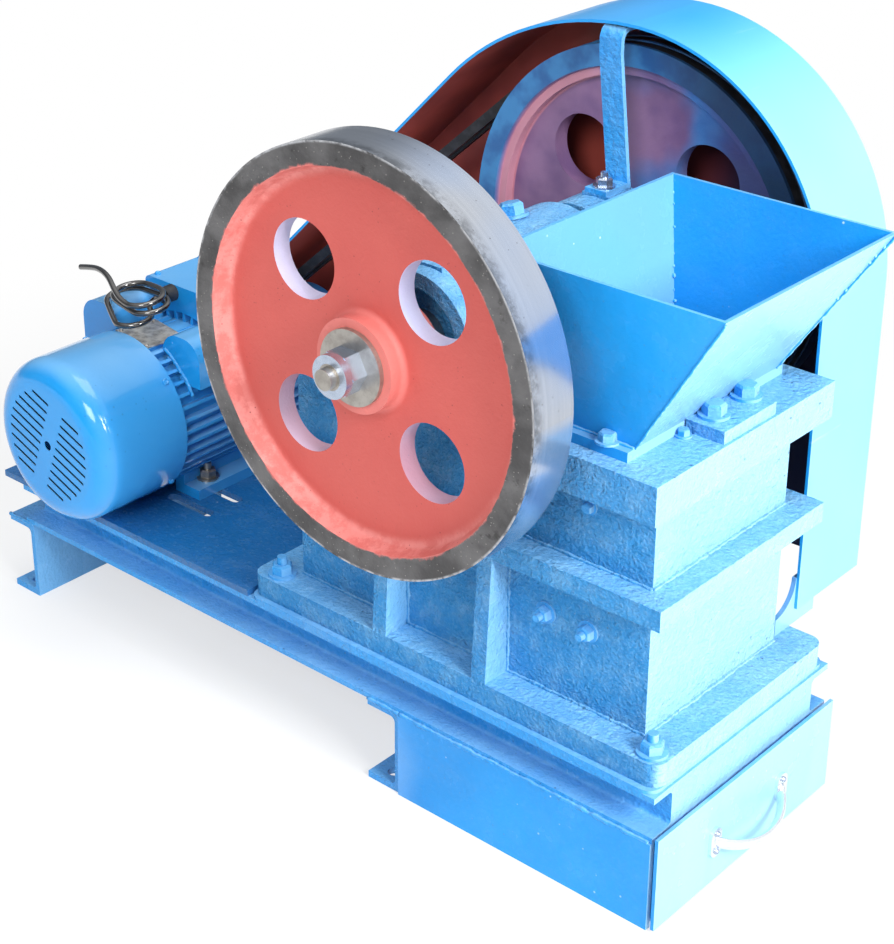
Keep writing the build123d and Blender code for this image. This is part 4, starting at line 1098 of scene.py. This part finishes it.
@dataclass
class Nameplate:
    """The bare metal plate on top of the motor, placed in millimetres."""

    length: float = 52.0
    width: float = 42.0
    thickness: float = 0.8
    turn: float = -0.17
    centre: Point = (-134.0, -31.0, 270.4)
    columns: int = 13
    rows: int = 11
    rivet_inset: float = 4.0
    rivet_width: float = 3.6

    def at(self, x: float, y: float, z: float) -> Point:
        """A point of the plate, turned by its slight skew."""
        cos, sin = math.cos(self.turn), math.sin(self.turn)
        cx, cy, cz = self.centre
        return (cx + (x * cos - y * sin), cy + (x * sin + y * cos), cz + z)

    def points(self) -> list[Vector]:
        """Points of the plate's two curled skins, the lower one first, in metres."""
        points = []
        for level in (0, self.thickness):
            for row in range(self.rows):
                for column in range(self.columns):
                    u, v = column / (self.columns - 1) - 0.5, row / (self.rows - 1) - 0.5
                    curl = 0.9 * max(0.0, abs(u) * 2 - 0.7) ** 2 + 0.6 * max(0.0, v * 2 - 0.6) ** 2
                    points.append(Vector(self.at(u * self.length, v * self.width, level + curl)) * MM)
        return points

    def faces(self) -> list[tuple[int, ...]]:
        """Faces of both skins and of the strip between their rims."""
        wide, count = self.columns, self.columns * self.rows
        faces: list[tuple[int, ...]] = []
        for row in range(self.rows - 1):
            for column in range(wide - 1):
                a = row * wide + column
                quad = (a, a + 1, a + wide + 1, a + wide)
                faces += [tuple(count + i for i in quad), quad[::-1]]
        rim = [*range(wide), *range(2 * wide - 1, count, wide), *range(count - 2, count - wide - 1, -1),
               *range(count - 2 * wide, 0, -wide)]
        return faces + [(a, b, b + count, a + count) for a, b in zip(rim, rim[1:] + rim[:1])]

    def build(self, screws: Fasteners) -> None:
        """Make the plate with a slight curl and its four rivets."""
        mesh = bpy.data.meshes.new("nameplate")
        mesh.from_pydata(self.points(), [], self.faces())
        mesh.materials.append(Finish.PLATE.material)
        piece = add_object("nameplate", mesh)
        smooth(piece)
        ride(piece, "frame")
        x, y = self.length / 2 - self.rivet_inset, self.width / 2 - self.rivet_inset
        seats = [Seat(self.at(i * x, j * y, self.thickness), UP, self.rivet_width)
                 for i in (-1, 1) for j in (-1, 1)]
        screws.screws("nameplate_rivets", seats, Finish.STEEL, "steel")


@dataclass(frozen=True)
class Lamp:
    """One soft square lamp aimed at a point, in metres and watts."""

    name: str
    place: Point
    target: Point
    size: float
    power: float

    def build(self) -> None:
        """Hang the lamp."""
        data = bpy.data.lights.new(self.name, "AREA")
        data.size = self.size
        data.energy = self.power
        aim = (Vector(self.target) - Vector(self.place)).to_track_quat("-Z", "Y")
        lamp = add_object(self.name, data)
        lamp.matrix_world = Matrix.Translation(self.place) @ aim.to_matrix().to_4x4()


@dataclass
class Studio:
    """Camera, lamps, floor and white surroundings."""

    focal_px: float = 1997.1
    height_px: float = 944.0
    principal_row_px: float = 360.0
    place: Point = (1163.1, -1109.7, 1005.8)
    azimuth: float = 131.019
    elevation: float = 24.532
    roll: float = -0.275
    sensor: float = 36.0
    floor_radius: float = 6.0
    floor_sides: int = 64
    lamps: tuple[Lamp, ...] = (
        Lamp("key_lamp", (2.4, -0.5, 1.6), (0.2, 0, 0.3), size=0.9, power=86),
        Lamp("front_lamp", (1.1, -2.2, 1.9), (0.2, 0, 0.3), size=1.0, power=37),
        Lamp("top_lamp", (0.2, 0.2, 2.6), (0.1, 0, 0), size=1.4, power=22),
    )

    def camera(self) -> None:
        """Set the camera at the photograph's viewing angle."""
        az, el, roll = (math.radians(a) for a in (self.azimuth, self.elevation, self.roll))
        ahead = Vector((math.cos(az) * math.cos(el), math.sin(az) * math.cos(el), -math.sin(el)))
        right = Vector((math.sin(az), -math.cos(az), 0))
        down = ahead.cross(right)
        across = right * math.cos(roll) + down * math.sin(roll)
        up = right * math.sin(roll) - down * math.cos(roll)
        data = bpy.data.cameras.new("camera")
        data.sensor_width = self.sensor
        data.lens = self.focal_px * self.sensor / self.height_px
        data.shift_y = (self.principal_row_px - self.height_px / 2) / self.height_px
        camera = add_object("camera", data)
        turn = Matrix((across, up, -ahead)).transposed().to_4x4()
        camera.matrix_world = Matrix.Translation(Vector(self.place) * MM) @ turn
        bpy.context.scene.camera = camera

    def floor(self) -> None:
        """Lay a pale floor that keeps the shadow and fades to white away from the machine."""
        mesh = bpy.data.meshes.new("floor")
        turns = (360 * at / self.floor_sides for at in range(self.floor_sides))
        ring = [(*polar(turn, self.floor_radius), 0) for turn in turns]
        mesh.from_pydata(ring, [], [tuple(range(self.floor_sides))])
        s = Shader("floor_paint")
        distance = ((s.x - 0.1) ** 2 + s.y ** 2).root()
        plain = s.node("ShaderNodeBsdfDiffuse", Color="f2f2f0")
        white = s.node("ShaderNodeEmission", Color=(1, 1, 1), Strength=1.0)
        ray = s.node("ShaderNodeLightPath")
        seen = s.wire(ray, "Is Camera Ray").most(s.wire(ray, "Is Glossy Ray"))
        seen = seen.most(s.wire(ray, "Is Transmission Ray"))
        share = seen * (0.62 + 0.38 * distance.step(0.5, 1.1))
        blend = s.node("ShaderNodeMixShader", i0=share, i1=plain.outputs[0], i2=white.outputs[0])
        s.node("ShaderNodeOutputMaterial", Surface=blend.outputs[0])
        mesh.materials.append(s.material)
        floor = add_object("floor", mesh)

    def surroundings(self) -> None:
        """Make the world a soft white that the camera sees as white and reflections see as white or dim by
        direction.
        """
        world = bpy.data.worlds.new("studio")
        world.use_nodes = True
        graph = Graph(world.node_tree)
        graph.tree.nodes.clear()
        soft = graph.node("ShaderNodeBackground", Color=(0.92, 0.95, 1.0), Strength=0.46)
        white = graph.node("ShaderNodeBackground", Color=(1, 1, 1), Strength=1.0)
        dim = graph.node("ShaderNodeBackground", Color=(0.8, 0.88, 1.0), Strength=0.25)
        split = graph.node("ShaderNodeSeparateXYZ", Vector=graph.node("ShaderNodeTexCoord").outputs["Object"])
        bright = (graph.wire(split, "X") * 0.6 + graph.wire(split, "Z")).step(0.0, 0.75)
        mirrored = graph.node("ShaderNodeMixShader", i0=bright, i1=dim.outputs[0], i2=white.outputs[0])
        ray = graph.node("ShaderNodeLightPath")
        glossy = graph.wire(ray, "Is Glossy Ray")
        lit = graph.node("ShaderNodeMixShader", i0=glossy, i1=soft.outputs[0], i2=mirrored.outputs[0])
        seen = graph.wire(ray, "Is Camera Ray").most(graph.wire(ray, "Is Transmission Ray"))
        blend = graph.node("ShaderNodeMixShader", i0=seen, i1=lit.outputs[0], i2=white.outputs[0])
        graph.node("ShaderNodeOutputWorld", Surface=blend.outputs[0])
        bpy.context.scene.world = world

    def build(self) -> None:
        """Set up everything round the machine."""
        bpy.context.scene.view_settings.view_transform = "Standard"
        self.camera()
        for lamp in self.lamps:
            lamp.build()
        self.floor()
        self.surroundings()


def main() -> None:
    """Dress the machine, piece by piece."""
    logging.basicConfig(level=logging.INFO, format="%(message)s")
    Studio().build()
    SupplyCord().build()
    for finish, names in NODE_FINISHES.items():
        for name in names.split():
            finish.paint(name)
    fasteners = Fasteners()
    fasteners.build()
    Seams().build()
    Nameplate().build(fasteners)


if __name__ == "__main__":
    main()
